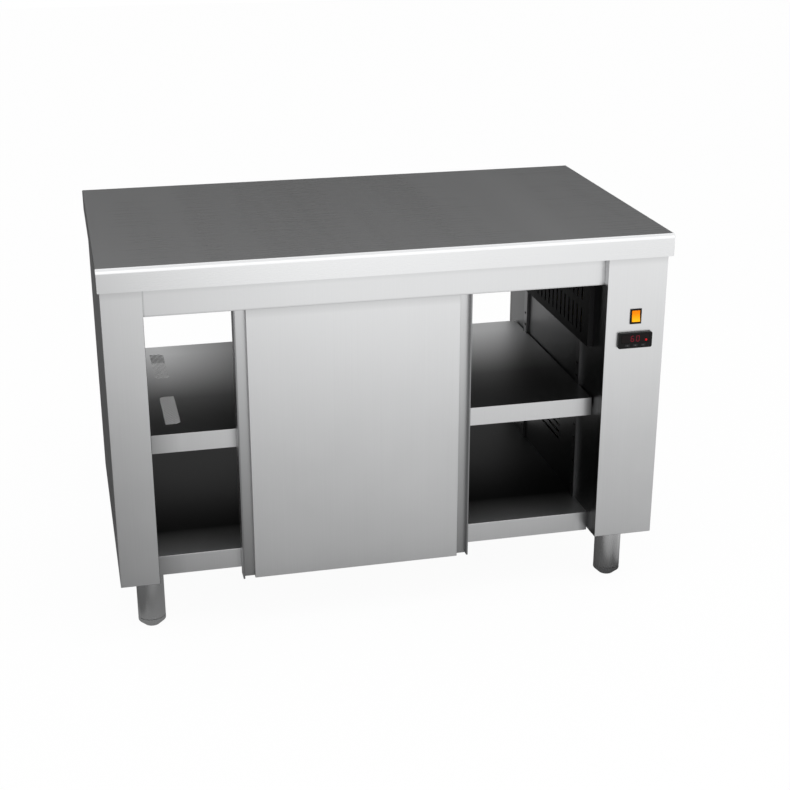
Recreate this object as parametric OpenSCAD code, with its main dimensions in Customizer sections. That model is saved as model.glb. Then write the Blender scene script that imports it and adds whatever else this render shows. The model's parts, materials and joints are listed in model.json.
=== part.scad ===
// Pass-through hot cupboard in stainless steel, with a pair of sliding doors on each long side.
// Millimetres. The floor is z = 0, the front faces -Y and the control column stands at +X.

/* [Overall] */
// Length of the worktop
top_w = 1200; // [1000:10:1600]
// Depth of the worktop
top_d = 700; // [660:10:800]
// Height of the worktop above the floor
top_h = 840; // [810:5:900]
// Thickness of the body's sheet
sheet = 1.2; // [0.8:0.1:1.5]
// Gap round a piece that is set in loosely
ease = 0.3; // [0.2:0.05:0.5]
// Radial clearance of a pin or shaft that turns or slides in its bore
run_fit = 0.05; // [0.02:0.01:0.1]

/* [Worktop] */
// Height of the worktop's edge
edge_h = 48; // [42:1:60]
// Radius of the rolled front and rear edges
edge_r = 10; // [6:0.5:14]
// Thickness of the worktop's sheet
top_t = 1.5; // [1:0.1:2]
// Set-back of the columns from the front and rear edges
front_set = 16; // [12:0.5:22]
// Set-back of the columns from the worktop's ends
end_set = 5; // [3:0.5:10]
// Gap between the columns and the return under the edge
return_gap = 0.8; // [0.5:0.1:2]
// Height of the stiffeners under the worktop
rib_h = 30; // [20:1:34]
// Width of a stiffener between its flanges
rib_w = 60; // [40:1:90]
// Width of a stiffener's flange
rib_flange = 20; // [12:1:30]
// Distance of the stiffeners from the middle of the depth
rib_y = 150; // [90:5:180]

/* [Columns] */
// Width of the left column
left_w = 82.5; // [74:0.5:110]
// Width of the right column, which holds the heating and the controls
right_w = 134; // [126:1:170]
// Height of the columns' undersides above the floor
base_h = 140; // [120:5:170]
// Set-back of the door fascias from the columns' faces
fascia_set = 18.5; // [12:0.5:24]
// Distance of the fascias' lower edges below the worktop's top
fascia_h = 112; // [106:1:124]
// Height of the ceiling above the fascias' lower edges
ceiling_rise = 14; // [8:1:20]
// Thickness of the insulation on the control column's end
end_wool = 24; // [15:1:28]
// Distance of the insulation above the columns' undersides
wool_rise = 24; // [18:1:40]

/* [Doors] */
// Overlap of a closed pair of doors
door_lap = 32.5; // [28:0.5:60]
// Thickness of a door
door_t = 15; // [14:0.5:18]
// Thickness of the doors' sheet
door_s = 1; // [0.8:0.1:1.2]
// Running gap in front of, between and behind the doors
lane_gap = 1; // [0.8:0.1:2]
// Width of the finger groove at each side of a door
groove_w = 22; // [18:0.5:26]
// Thickness of the hemmed lip outside the groove
lip_w = 3.5; // [2:0.5:5]
// Distance that the doors hang below the columns
door_drop = 21; // [14:1:30]
// Distance that the doors reach up behind the fascia
door_tuck = 24; // [15:1:26]
// Width of the open gap beside the stacked doors at rest
door_open = 179.6; // [60:0.1:220]

/* [Door gear] */
// Radius of a roller
roller_r = 11; // [8:0.5:12]
// Width of a roller
roller_w = 5.5; // [4:0.5:5.5]
// Radius of a roller's axle
axle_r = 3; // [2:0.25:4]
// Distance of the hangers from the door's side edges
hanger_in = 70; // [50:1:140]
// Length of a hanger's foot
hanger_l = 36; // [28:1:60]
// Width of a hanger's upright
hanger_w = 20; // [14:1:26]
// Thickness of a hanger
hanger_t = 2; // [1.5:0.1:2.5]
// Thickness of the track's webs and roof
track_t = 1.2; // [1:0.1:1.5]
// Thickness of the ledge that the rollers run on
ledge_t = 1.5; // [1:0.1:2]
// Height of the ledge's raised rim
rim_h = 2.5; // [1.5:0.1:3.5]
// Clear height under the ledge and over the rollers
track_gap = 3; // [2:0.5:4]
// Radius of a guide pin
pin_r = 2; // [1.5:0.1:2.5]
// Reach of a guide pin into a door
pin_h = 9; // [6:0.5:12]
// Gap between the doors' undersides and the guide bracket
guide_gap = 1; // [0.8:0.1:2]
// Thickness of the guide bracket
guide_t = 1.5; // [1:0.1:2]
// Width of the guide bracket
guide_w = 24; // [14:1:28]
// Height of the guide bracket's upright
guide_h = 50; // [40:1:56]

/* [Deck and shelf] */
// Height of the deck above the columns' undersides
deck_rise = 38; // [30:1:60]
// Height of the front and rear rails and the deck's plate together
deck_edge = 45; // [38:1:52]
// Height of the bars under the deck's ends
bar_h = 26; // [12:1:27]
// Thickness of the rails and bars that carry the deck
bar_t = 1.5; // [1:0.1:2]
// Distance of the shelf's top below the ceiling
shelf_drop = 284; // [240:1:330]
// Height of the shelf's front and rear lips
shelf_lip = 41; // [30:1:50]
// Height of the shelf's end flanges
shelf_flange = 25; // [15:1:30]
// Gap between the shelf's ends and the walls
shelf_gap = 2.5; // [1.5:0.5:4]
// Distance of the vent patches from the left wall
vent_in = 38; // [25:1:80]
// Width of a vent patch
vent_w = 32; // [20:1:50]
// Length of a vent patch
vent_l = 165; // [120:5:180]
// Distance of the vent patches from the middle of the depth
vent_y = 60; // [30:5:70]
// Width of a vent slot
vent_slot = 3.2; // [2:0.2:5]
// Distance from one vent slot to the next
vent_pitch = 9.5; // [8:0.5:20]

/* [Shelf supports] */
// Width of an upright
upright_w = 22; // [20:1:28]
// Depth of an upright
upright_d = 6; // [5:0.5:8]
// Gap between the uprights and the hot-air cover above them
upright_gap = 5; // [3:1:40]
// Distance of the uprights from the middle of the depth
upright_y = 189; // [140:1:220]
// Distance from one slot of an upright to the next
upright_pitch = 30; // [25:1:40]
// Width of an upright's slots
upright_slot_w = 10; // [6:0.5:14]
// Height of an upright's slots
upright_slot_h = 5; // [3:0.5:8]
// Reach of a shelf clip
clip_reach = 10; // [8:0.5:16]
// Width of a shelf clip
clip_w = 18; // [14:1:20]
// Height of a shelf clip
clip_h = 22; // [14:1:30]
// Thickness of a shelf clip
clip_t = 2; // [1.5:0.1:3]

/* [Legs and feet] */
// Radius of a leg
leg_r = 30; // [24:0.5:32]
// Wall of a leg's tube
leg_wall = 1.5; // [1.2:0.1:2.5]
// Distance of the left legs' axes from the left jamb
leg_jamb = 17.5; // [16:0.5:22]
// Distance of the legs' axes from the worktop's front and rear
leg_y = 107; // [102:1:130]
// Thickness of a leg's head and of its bottom plug
leg_plug = 20; // [12:1:24]
// Radius of the stud on top of a leg
stud_r = 6; // [4:0.5:6]
// Length of the stud on top of a leg
stud_l = 10; // [6:1:14]
// Half width of the pad that takes a leg's stud
pad_half = 14; // [12:0.5:15]
// Thickness of that pad
pad_t = 6; // [4:0.5:8]
// Height of a foot's straight rim
foot_rim = 9; // [6:1:14]
// Height of a foot's taper
foot_taper = 12; // [8:1:16]
// Radius of a foot's underside
foot_r = 18; // [14:1:22]
// Radius of a foot's stem
stem_r = 8; // [6:0.5:10]
// Length of a foot's stem
stem_l = 58; // [50:1:62]
// Gap between a foot and its leg when screwed home
foot_gap = 0.6; // [0.4:0.1:1]

/* [Switch] */
// Distance of the switch below the worktop's top
switch_drop = 181; // [150:1:190]
// Width of the switch's bezel
switch_w = 25.5; // [24:0.5:30]
// Height of the switch's bezel
switch_h = 33.5; // [32:0.5:36]
// Rim of the bezel round the switch's body
switch_rim = 2; // [1:0.1:2.2]
// Depth of the switch's body behind the panel
switch_deep = 26; // [20:1:35]
// Thickness of the switch's bezel
switch_lip = 2.5; // [1.5:0.1:3]
// Wall of the switch's body beside the rocker
switch_wall = 1.4; // [1.2:0.1:2]
// Wall of the switch's body above and below the rocker
switch_end = 1.2; // [1:0.1:1.5]
// Clearance at the rocker's upper and lower ends
rocker_ease = 1.2; // [1.1:0.05:1.6]
// Tilt of the rocker at each end of its travel
rocker_tilt = 8; // [5:0.5:8.5]
// Depth of the rocker's pivot behind the panel
rocker_deep = 3; // [2:0.25:4]
// Depth of the rocker behind its pivot
rocker_half = 4; // [2:0.25:5]
// Depth of the dish in the rocker's face
rocker_dish = 1.5; // [0.5:0.1:1.6]
// Radius of the rocker's pivot pins
rocker_pin = 1; // [0.8:0.1:1.5]

/* [Controller] */
// Distance of the controller below the worktop's top
dial_drop = 233.5; // [228:0.5:260]
// Width of the controller's bezel
dial_w = 77; // [75:0.5:90]
// Height of the controller's bezel
dial_h = 35; // [34:0.5:38]
// Rim of the bezel round the controller's body
dial_rim = 3; // [1.5:0.25:3.5]
// Depth of the controller's body behind the panel
dial_deep = 58; // [40:1:70]
// Thickness of the controller's bezel
dial_lip = 7; // [5:0.5:9]
// Corner radius of the controller's bezel
dial_corner = 4; // [2:0.5:6]
// Width of the controller's window
window_w = 64; // [50:0.5:68]
// Height of the controller's window
window_h = 18; // [14:0.5:20]
// Thickness of the controller's window
window_t = 1.5; // [1:0.1:2]
// Rise of the window above the controller's middle
window_up = 4; // [3:0.25:5]
// Width of a key
key_w = 11; // [8:0.5:13]
// Height of a key
key_h = 5; // [4:0.25:5.5]
// Distance of the keys below the controller's middle
key_down = 11; // [10.5:0.25:11.5]
// Distance from one key to the next
key_pitch = 18; // [15:0.5:22]
// Distance that a key stands proud
key_proud = 1; // [0.9:0.1:1.5]
// Depth of a key in its pocket
key_deep = 2.4; // [1.5:0.1:3]
// Depth of a key's pocket
key_pocket = 4; // [3.5:0.1:5]

/* [Air heating] */
// Height of the fan's axis above the deck
fan_rise = 157; // [120:1:190]
// Radius of the fan wheel
fan_r = 75; // [60:1:80]
// Radius of the inner ends of the blades
blade_in = 45; // [25:1:50]
// Depth of the fan wheel's blades
blade_d = 28; // [18:1:30]
// Number of blades
blades = 14; // [8:1:24]
// Thickness of the blades and the wheel's plate
blade_t = 1.5; // [1:0.1:2]
// Radius of the fan's shaft
shaft_r = 4; // [3:0.5:5]
// Radius of the fan wheel's hub
hub_r = 12; // [9:0.5:16]
// Depth of the air box behind the control column's wall
box_d = 42; // [40:1:46]
// Half width of the air box
box_half = 150; // [125:1:165]
// Height of the air box above the deck
box_h = 385; // [320:5:400]
// Gap between the fan wheel and the air box
fan_gap = 4; // [3:0.5:6]
// Radius of the fan's motor
motor_r = 38; // [30:1:45]
// Length of the fan's motor
motor_l = 40; // [30:1:46]
// Reach of the motor's mounting ears
ear_l = 10; // [8:1:16]
// Width of the motor's mounting ears
ear_w = 24; // [16:1:30]
// Thickness of the motor's mounting ears
ear_t = 2.5; // [2:0.1:4]
// Radius of the heating element's tube
rod_r = 4; // [3:0.25:5]
// Radius of the heating element's ring
ring_r = 98; // [94:1:110]
// Angle between the heating element's two ends
ring_gap = 30; // [20:1:50]
// Wall of the sleeves on the heating element's ends
sleeve_t = 1.5; // [1:0.1:2]
// Reach of the heating element's ends behind the air box
tail_l = 22; // [12:1:30]
// Number of return-air slots
return_n = 8; // [4:1:9]
// Length of a return-air slot
return_l = 150; // [100:5:200]
// Height of a return-air slot
return_h = 6; // [4:0.5:9]
// Distance from one return-air slot to the next
return_pitch = 17; // [13:0.5:20]
// Height of the hot-air cover, which hangs from the ceiling
cover_h = 171; // [110:1:200]
// Depth of the hot-air cover
cover_d = 12; // [8:1:14]
// Distance of the hot-air cover's ends from the shelf's front and rear edges
cover_in = 20; // [12:1:50]
// Margin round the hot-air opening behind its cover
cover_rim = 24; // [15:1:34]
// Width of a hot-air slot
hot_w = 8; // [5:0.5:12]
// Distance from one hot-air slot to the next
hot_pitch = 27; // [20:0.5:34]
// Bridge above, between and below the two rows of hot-air slots
hot_bridge = 20; // [12:1:30]
// Radius of the air probe
probe_r = 3; // [2:0.25:4]
// Length of the air probe
probe_l = 60; // [40:1:90]
// Radius of the safety thermostat
limit_r = 12; // [9:0.5:15]
// Height of the safety thermostat
limit_h = 14; // [10:0.5:20]
// Thickness of the safety thermostat's strap
limit_strap = 1; // [0.8:0.1:1.5]
// Distance of the safety thermostat below the air box's top
limit_down = 36; // [25:1:50]
// Number of poles on the terminal block
poles = 5; // [3:1:6]
// Length of one pole of the terminal block
pole_l = 12; // [10:0.5:13]
// Width of the terminal block
pole_w = 24; // [18:1:30]
// Height of the terminal block
pole_h = 30; // [20:1:40]
// Radius of a terminal's screw hole
pole_r = 3; // [2:0.25:4]
// Depth of a terminal's screw hole
pole_deep = 14; // [8:1:17]
// Gap between the terminal block and the pad of the rear leg
pole_gap = 24; // [10:1:60]

/* [Service cover] */
// Width of the service opening
service_w = 90; // [70:1:98]
// Distance of the service opening's upper edge below the worktop's edge
service_drop = 112; // [40:1:260]
// Height of the service opening's lower edge above the columns' undersides
service_rise = 60; // [56:1:90]
// Lap of the service cover round its opening
service_lap = 12; // [10:1:15]
// Radius of a screw's shank
screw_r = 2; // [1.5:0.25:2.5]
// Radius of a screw's head
head_r = 4; // [3.5:0.25:5]
// Height of a screw's head
head_h = 2.4; // [1.5:0.1:3]
// Width of the cross in a screw's head
cross_w = 1; // [0.8:0.1:1.4]
// Length of a screw's shank
screw_l = 8; // [5:0.5:12]
// Height of the cable gland above the columns' undersides
gland_rise = 28; // [24:1:32]
// Radius of the cable gland's bore
gland_bore = 5; // [3.5:0.25:5.5]
// Radius of the cable gland's thread
gland_r = 8; // [7:0.25:9]
// Radius of the cable gland's collar
gland_collar = 12; // [11:0.5:14]
// Height of the cable gland's collar
gland_h = 10; // [6:0.5:11]
// Thickness of the cable gland's nut
gland_nut = 5; // [3:0.5:5.5]

/* [Hidden] */
$fn = 64;
over = 1;

half_w = top_w/2;
half_d = top_d/2;
x_left = -half_w + end_set;
x_right = half_w - end_set;
x_open0 = x_left + left_w;
x_open1 = x_right - right_w;
x_mid = (x_open0 + x_open1)/2;
x_panel = (x_open1 + x_right)/2;
open_w = x_open1 - x_open0;
y_col = half_d - front_set;
y_fascia = y_col - fascia_set;
y_lane = y_fascia - sheet - lane_gap;
lane = door_t + lane_gap;
y_shelf = y_lane - 2*lane;

z_edge = top_h - edge_h;
z_plate = top_h - top_t;
z_fascia = top_h - fascia_h;
z_ceiling = z_fascia + ceiling_rise;
z_door0 = base_h - door_drop;
z_door1 = z_fascia + door_tuck;
z_ledge = z_door1 + hanger_t + track_gap;
z_axle = z_ledge + ledge_t + ease + roller_r;
z_roof = z_axle + roller_r + track_gap;
z_deck = base_h + deck_rise;
z_shelf = z_ceiling - shelf_drop;
z_cover = z_ceiling - cover_h;

door_w = (open_w + door_lap)/2;
side_w = lip_w + groove_w;
skin_y = door_t - door_s;
groove_d = skin_y - door_s;
slot_y = groove_d - pin_r - 2*ease;
x_door = x_open0 + door_open;
roller_y = track_t - lane_gap + 2*ease;
rim_y = roller_y + roller_w + ease;
hanger_y = rim_y + track_t + ease;
hanger_x = [hanger_in, door_w - hanger_in];

stud_in = left_w - leg_jamb;
leg_x = half_w - end_set - stud_in;
leg_set = half_d - leg_y;
foot_h = foot_rim + foot_taper;
z_leg = foot_h + foot_gap;

z_switch = top_h - switch_drop;
switch_body = [switch_w, switch_h] - 2*[switch_rim, switch_rim];
well = switch_body - 2*[switch_wall, switch_end];
rocker_size = well - 2*[ease, rocker_ease];
z_dial = top_h - dial_drop;
dial_body = [dial_w, dial_h] - 2*[dial_rim, dial_rim];
key_x = [-key_pitch, 0, key_pitch];

z_fan = z_deck + fan_rise;
x_box = x_open1 + sheet + box_d;
x_wheel = x_box - sheet - fan_gap - blade_t;
x_ring = x_wheel - blade_d/2;
sleeve_r = rod_r + sleeve_t;
tail_turns = [-ring_gap/2, ring_gap/2];
cover_half = y_shelf - cover_in;

service_z = base_h + service_rise;
service_h = z_edge - service_drop - service_z;
service_screws = [
    for (row = [0:2], side = [-1, 1])
        [x_panel + side*(service_w + service_lap)/2, service_z + row*service_h/2]
];

steel = [0.78, 0.79, 0.80];
dark_steel = [0.45, 0.46, 0.47];
inner_steel = [0.30, 0.31, 0.32];
black_plastic = [0.06, 0.06, 0.06];
pale_plastic = [0.90, 0.90, 0.88];
amber = [0.98, 0.55, 0.02];
deep_red = [0.12, 0.02, 0.02];
wool = [0.80, 0.74, 0.52];

// A box from its lowest corner to its highest corner
module block(low, high) {
    translate(low) cube(high - low);
}

// The same shape at the front and, mirrored, at the rear
module front_and_rear() {
    children();
    mirror([0, 1, 0]) children();
}

// A front piece turned half round to serve the rear side
module at_rear() {
    translate([2*x_mid, 0, 0]) rotate([0, 0, 180]) children();
}

// A cylinder along X from x = a to x = b
module rod_x(r, a, b) {
    translate([a, 0, 0]) rotate([0, 90, 0]) cylinder(r = r, h = b - a);
}

// A cylinder along Y from y = a to y = b
module rod_y(r, a, b) {
    translate([0, a, 0]) rotate([-90, 0, 0]) cylinder(r = r, h = b - a);
}

// A bar along X whose two upper edges are rolled
module rolled_bar(l, d, h, r) {
    translate([-l/2, 0, 0]) rotate([90, 0, 90]) linear_extrude(l) {
        translate([-d/2, 0]) square([d, h - r]);
        translate([-d/2 + r, 0]) square([d - 2*r, h]);
        for (side = [-1, 1]) translate([side*(d/2 - r), h - r]) circle(r);
    }
}

module worktop() color(dark_steel) {
    difference() {
        translate([0, 0, z_edge]) rolled_bar(top_w, top_d, edge_h, edge_r);
        translate([0, 0, z_edge - over])
            rolled_bar(top_w - 2*top_t, top_d - 2*top_t, edge_h - top_t + over, edge_r - top_t);
    }
    front_and_rear() block(
        [-half_w + top_t/2, -half_d + top_t/2, z_edge],
        [half_w - top_t/2, -y_col - return_gap, z_edge + top_t]);
}

// One hat-shaped channel under the plate
module stiffener() {
    x0 = x_open0 + ease;
    x1 = x_open1 - ease;
    difference() {
        union() {
            block([x0, -rib_w/2, z_plate - rib_h], [x1, rib_w/2, z_plate]);
            block([x0, -rib_w/2 - rib_flange, z_plate - sheet], [x1, rib_w/2 + rib_flange, z_plate]);
        }
        block([x0 - over, -rib_w/2 + sheet, z_plate - rib_h + sheet],
            [x1 + over, rib_w/2 - sheet, z_plate + over]);
    }
}

module worktop_stiffeners() color(dark_steel) {
    for (side = [-1, 1]) translate([0, side*rib_y, 0]) stiffener();
}

module ceiling_panel() color(inner_steel) {
    block([x_open0, -y_shelf, z_ceiling], [x_open1, y_shelf, z_ceiling + sheet]);
    front_and_rear() block([x_open0, -y_shelf, z_ceiling], [x_open1, -y_shelf + sheet, z_roof + track_t]);
}

// The folded shell of a column of width w, with its outer end at x = 0 and its jamb at x = w
module casing_shell(w) {
    difference() {
        union() {
            difference() {
                block([0, -y_col, base_h], [w, y_col, z_plate]);
                block([sheet, -y_col + sheet, base_h + sheet], [w - sheet, y_col - sheet, z_plate + over]);
                block([w - sheet, -y_fascia, base_h - over], [w + over, y_fascia, z_plate + over]);
            }
            front_and_rear() block(
                [stud_in - pad_half, -leg_set - pad_half, base_h],
                [stud_in + pad_half, -leg_set + pad_half, base_h + sheet + pad_t]);
        }
        front_and_rear() translate([stud_in, -leg_set, base_h - over])
            cylinder(r = stud_r + run_fit, h = sheet + pad_t + 2*over);
    }
}

module left_casing() color(steel) translate([x_left, 0, 0]) casing_shell(left_w);

// Panel opening for a body of the given size, centred at height z
module panel_hole(size, z) {
    block([x_panel - size[0]/2 - ease, -y_col - over, z - size[1]/2 - ease],
        [x_panel + size[0]/2 + ease, -y_col + sheet + over, z + size[1]/2 + ease]);
}

module right_casing() color(steel) {
    wall = [y_col - sheet - over, y_col + over];
    difference() {
        translate([x_right, 0, 0]) mirror([1, 0, 0]) casing_shell(right_w);
        panel_hole(switch_body, z_switch);
        panel_hole(dial_body, z_dial);
        block([x_panel - service_w/2, wall[0], service_z],
            [x_panel + service_w/2, wall[1], service_z + service_h]);
        for (at = service_screws) translate([at[0], 0, at[1]]) rod_y(screw_r + run_fit, wall[0], wall[1]);
        translate([x_panel, 0, base_h + gland_rise]) rod_y(gland_r + run_fit, wall[0], wall[1]);
    }
}

module left_lining() color(inner_steel) {
    block([x_open0 - sheet, -y_fascia, base_h], [x_open0, y_fascia, z_plate]);
}

module right_lining() color(inner_steel) {
    x0 = x_open1 - over;
    x1 = x_open1 + sheet + over;
    difference() {
        block([x_open1, -y_fascia, base_h], [x_open1 + sheet, y_fascia, z_plate]);
        block([x0, -cover_half + cover_rim, z_cover + cover_rim],
            [x1, cover_half - cover_rim, z_ceiling - cover_rim]);
        for (i = [0:return_n - 1]) translate([0, 0, z_fan + (i - (return_n - 1)/2)*return_pitch])
            block([x0, -return_l/2, -return_h/2], [x1, return_l/2, return_h/2]);
    }
}

module insulation_slabs() color(wool) {
    z0 = base_h + wool_rise;
    z1 = z_plate - ease;
    block([x_left + sheet + ease, -y_fascia, z0], [x_open0 - sheet - ease, y_fascia, z1]);
    block([x_right - sheet - ease - end_wool, -y_fascia, z0], [x_right - sheet - ease, y_fascia, z1]);
    block([x_open0 + ease, -y_shelf + sheet + ease, z_ceiling + sheet + ease],
        [x_open1 - ease, y_shelf - sheet - ease, z_plate - rib_h - ease]);
}

module hot_air_cover() color(inner_steel) {
    x0 = x_open1 - cover_d;
    slot_h = (z_ceiling - z_cover - 3*hot_bridge)/2;
    count = floor((cover_half - cover_rim)*2/hot_pitch);
    difference() {
        block([x0, -cover_half, z_cover], [x_open1, cover_half, z_ceiling]);
        block([x0 + sheet, -cover_half + sheet, z_cover + sheet],
            [x_open1 + over, cover_half - sheet, z_ceiling - sheet]);
        for (i = [0:count - 1], row = [0, 1])
            translate([0, (i - (count - 1)/2)*hot_pitch, z_cover + hot_bridge + row*(slot_h + hot_bridge)])
                block([x0 - over, -hot_w/2, 0], [x0 + sheet + over, hot_w/2, slot_h]);
    }
}

module deck() color(steel) {
    block([x_open0, -y_shelf, z_deck - sheet], [x_open1, y_shelf, z_deck]);
}

// The front and rear rails that tie the columns, and the bars on the walls, which carry the deck
module deck_frame() color(steel) {
    z1 = z_deck - sheet;
    y1 = y_shelf - bar_t - ease;
    front_and_rear() block([x_open0, -y_shelf, z_deck - deck_edge], [x_open1, -y_shelf + bar_t, z1]);
    for (x = [x_open0, x_open1 - bar_t]) block([x, -y1, z1 - bar_h], [x + bar_t, y1, z1]);
}

// Slanting slots that fill one vent patch between two heights, up to its square ends
module vent_slots(z0, z1) {
    reach = vent_w + vent_slot;
    half = floor(((vent_l + vent_w)/2 - 2*vent_slot)/vent_pitch);
    intersection() {
        block([0, 0, z0], [vent_w, vent_l, z1]);
        for (i = [-half:half]) translate([vent_w/2, vent_l/2 + i*vent_pitch, 0]) rotate([0, 0, 45])
            block([-reach, -vent_slot/2, z0 - over], [reach, vent_slot/2, z1 + over]);
    }
}

module mid_shelf() color(steel) {
    x0 = x_open0 + shelf_gap;
    x1 = x_open1 - shelf_gap;
    notch = upright_w/2 + shelf_gap;
    z0 = z_shelf - shelf_lip - over;
    difference() {
        union() {
            block([x0, -y_shelf, z_shelf - sheet], [x1, y_shelf, z_shelf]);
            front_and_rear() block([x0, -y_shelf, z_shelf - shelf_lip], [x1, -y_shelf + sheet, z_shelf]);
            for (x = [x0, x1 - sheet])
                block([x, -y_shelf, z_shelf - shelf_flange], [x + sheet, y_shelf, z_shelf]);
        }
        front_and_rear() {
            block([x0 - over, -upright_y - notch, z0],
                [x_open0 + upright_d + ease, -upright_y + notch, z_shelf + over]);
            block([x_open1 - upright_d - ease, -upright_y - notch, z0],
                [x1 + over, -upright_y + notch, z_shelf + over]);
            translate([x_open0 + vent_in, -vent_y - vent_l, 0])
                vent_slots(z_shelf - sheet - over, z_shelf + over);
        }
    }
}

// An upright on the left wall
module upright() {
    h = z_cover - upright_gap - z_deck;
    face = x_open0 + upright_d;
    difference() {
        block([x_open0, -upright_w/2, z_deck], [face, upright_w/2, z_deck + h]);
        block([x_open0 - over, -upright_w/2 + sheet, z_deck - over],
            [face - sheet, upright_w/2 - sheet, z_deck + h + over]);
        for (i = [1:floor(h/upright_pitch) - 1]) translate([face, 0, z_deck + i*upright_pitch])
            block([-sheet - over, -upright_slot_w/2, -upright_slot_h/2],
                [over, upright_slot_w/2, upright_slot_h/2]);
    }
}

// A clip on the face of an upright, under the shelf
module clip() {
    x0 = x_open0 + upright_d;
    z1 = z_shelf - sheet;
    block([x0, -clip_w/2, z1 - clip_t], [x0 + clip_reach, clip_w/2, z1]);
    block([x0, -clip_w/2, z1 - clip_h], [x0 + clip_t, clip_w/2, z1]);
}

// A support on the left wall and its mirror image on the right wall, at the front and at the rear
module at_supports() {
    for (y = [-upright_y, upright_y]) translate([0, y, 0]) {
        children();
        translate([2*x_mid, 0, 0]) mirror([1, 0, 0]) children();
    }
}

module shelf_uprights() color(inner_steel) at_supports() upright();

module shelf_clips() color(steel) at_supports() clip();

// The fixed strip above the doors of one side
module fascia() {
    block([x_open0, -y_fascia, z_fascia], [x_open1, -y_fascia + sheet, z_plate]);
}

module front_fascia() color(steel) fascia();

module rear_fascia() color(steel) at_rear() fascia();

// Front face of the door in lane 0 (outer) or lane 1 (inner)
function lane_y(i) = -y_lane + i*lane;

// The double track of one side, carried by the fascia's inner face
module track() {
    x0 = x_open0 + ease;
    x1 = x_open1 - ease;
    for (i = [0, 1]) translate([0, lane_y(i), 0]) {
        block([x0, -lane_gap, z_ledge], [x1, track_t - lane_gap, z_roof + track_t]);
        block([x0, -lane_gap, z_ledge], [x1, rim_y + track_t, z_ledge + ledge_t]);
        block([x0, rim_y, z_ledge], [x1, rim_y + track_t, z_ledge + ledge_t + rim_h]);
    }
    block([x0, -y_lane - lane_gap, z_roof], [x1, -y_shelf, z_roof + track_t]);
}

module door_tracks() color(dark_steel) {
    track();
    at_rear() track();
}

// The bracket under the deck whose pins run in the slots of the doors' undersides
module guide() {
    z_pin = z_door0 - guide_gap;
    y0 = lane_y(0) + slot_y - pin_r - ease;
    y1 = -y_shelf + bar_t;
    translate([x_mid, 0, 0]) {
        block([-guide_w/2, y0, z_pin - guide_t], [guide_w/2, y1 + guide_t, z_pin]);
        block([-guide_w/2, y1, z_pin - guide_t], [guide_w/2, y1 + guide_t, z_pin + guide_h]);
        for (i = [0, 1]) translate([0, lane_y(i) + slot_y, z_pin - guide_t])
            cylinder(r = pin_r, h = guide_t + guide_gap + pin_h);
    }
}

module door_guides() color(dark_steel) {
    guide();
    at_rear() guide();
}

module legs() color(dark_steel) {
    for (sx = [-1, 1], sy = [-1, 1]) translate([sx*leg_x, sy*leg_set, 0]) difference() {
        union() {
            translate([0, 0, z_leg]) cylinder(r = leg_r, h = base_h - z_leg);
            translate([0, 0, base_h - over]) cylinder(r = stud_r, h = stud_l + over);
        }
        translate([0, 0, z_leg + leg_plug]) cylinder(r = leg_r - leg_wall, h = base_h - z_leg - 2*leg_plug);
        translate([0, 0, foot_h]) cylinder(r = stem_r + run_fit, h = foot_gap + leg_plug + over);
    }
}

// An adjustable foot under the leg on side sx of the width and side sy of the depth
module foot(sx, sy) color(dark_steel) translate([sx*leg_x, sy*leg_set, 0]) {
    cylinder(r1 = foot_r, r2 = leg_r, h = foot_taper);
    translate([0, 0, foot_taper]) cylinder(r = leg_r, h = foot_rim);
    translate([0, 0, foot_h - over]) cylinder(r = stem_r, h = stem_l + over);
}

module foot_front_left() foot(-1, -1);

module foot_front_right() foot(1, -1);

module foot_rear_left() foot(-1, 1);

module foot_rear_right() foot(1, 1);

module switch_housing() color(black_plastic) translate([x_panel, -y_col, z_switch]) {
    pin_end = switch_body[0]/2 - ease;
    difference() {
        union() {
            block([-switch_w/2, -switch_lip, -switch_h/2], [switch_w/2, 0, switch_h/2]);
            block([-switch_body[0]/2, -switch_lip, -switch_body[1]/2],
                [switch_body[0]/2, switch_deep, switch_body[1]/2]);
        }
        block([-well[0]/2, -switch_lip - over, -well[1]/2],
            [well[0]/2, rocker_deep + 2*rocker_half, well[1]/2]);
        translate([0, rocker_deep, 0]) rod_x(rocker_pin + run_fit, -pin_end, pin_end);
    }
}

// The lit rocker, dished on its face and tilted to its "on" side
module rocker() color(amber) {
    face = rocker_deep + switch_lip;
    h = rocker_size[1]/2;
    pin_end = switch_body[0]/2 - 2*ease;
    translate([x_panel, rocker_deep - y_col, z_switch]) rotate([-rocker_tilt, 0, 0]) {
        translate([-rocker_size[0]/2, 0, 0]) rotate([90, 0, 90]) linear_extrude(rocker_size[0])
            polygon([[rocker_half, -h], [-face - rocker_dish, -h], [-face, 0], [-face - rocker_dish, h],
                [rocker_half, h]]);
        rod_x(rocker_pin, -pin_end, pin_end);
    }
}

// A plate of width w and height h with round corners, from y = a to y = b
module rounded_plate(w, h, r, a, b) {
    translate([0, b, 0]) rotate([90, 0, 0]) linear_extrude(b - a) {
        square([w - 2*r, h], center = true);
        square([w, h - 2*r], center = true);
        for (sx = [-1, 1], sz = [-1, 1]) translate([sx*(w/2 - r), sz*(h/2 - r)]) circle(r);
    }
}

module controller_case() color(black_plastic) translate([x_panel, -y_col, z_dial]) difference() {
    union() {
        rounded_plate(dial_w, dial_h, dial_corner, -dial_lip, 0);
        block([-dial_body[0]/2, -over, -dial_body[1]/2], [dial_body[0]/2, dial_deep, dial_body[1]/2]);
    }
    translate([0, -dial_lip, window_up]) block([-window_w/2 - ease, -over, -window_h/2 - ease],
        [window_w/2 + ease, window_t, window_h/2 + ease]);
    for (x = key_x) translate([x, -dial_lip, -key_down]) block([-key_w/2 - ease, -over, -key_h/2 - ease],
        [key_w/2 + ease, key_pocket, key_h/2 + ease]);
}

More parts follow.
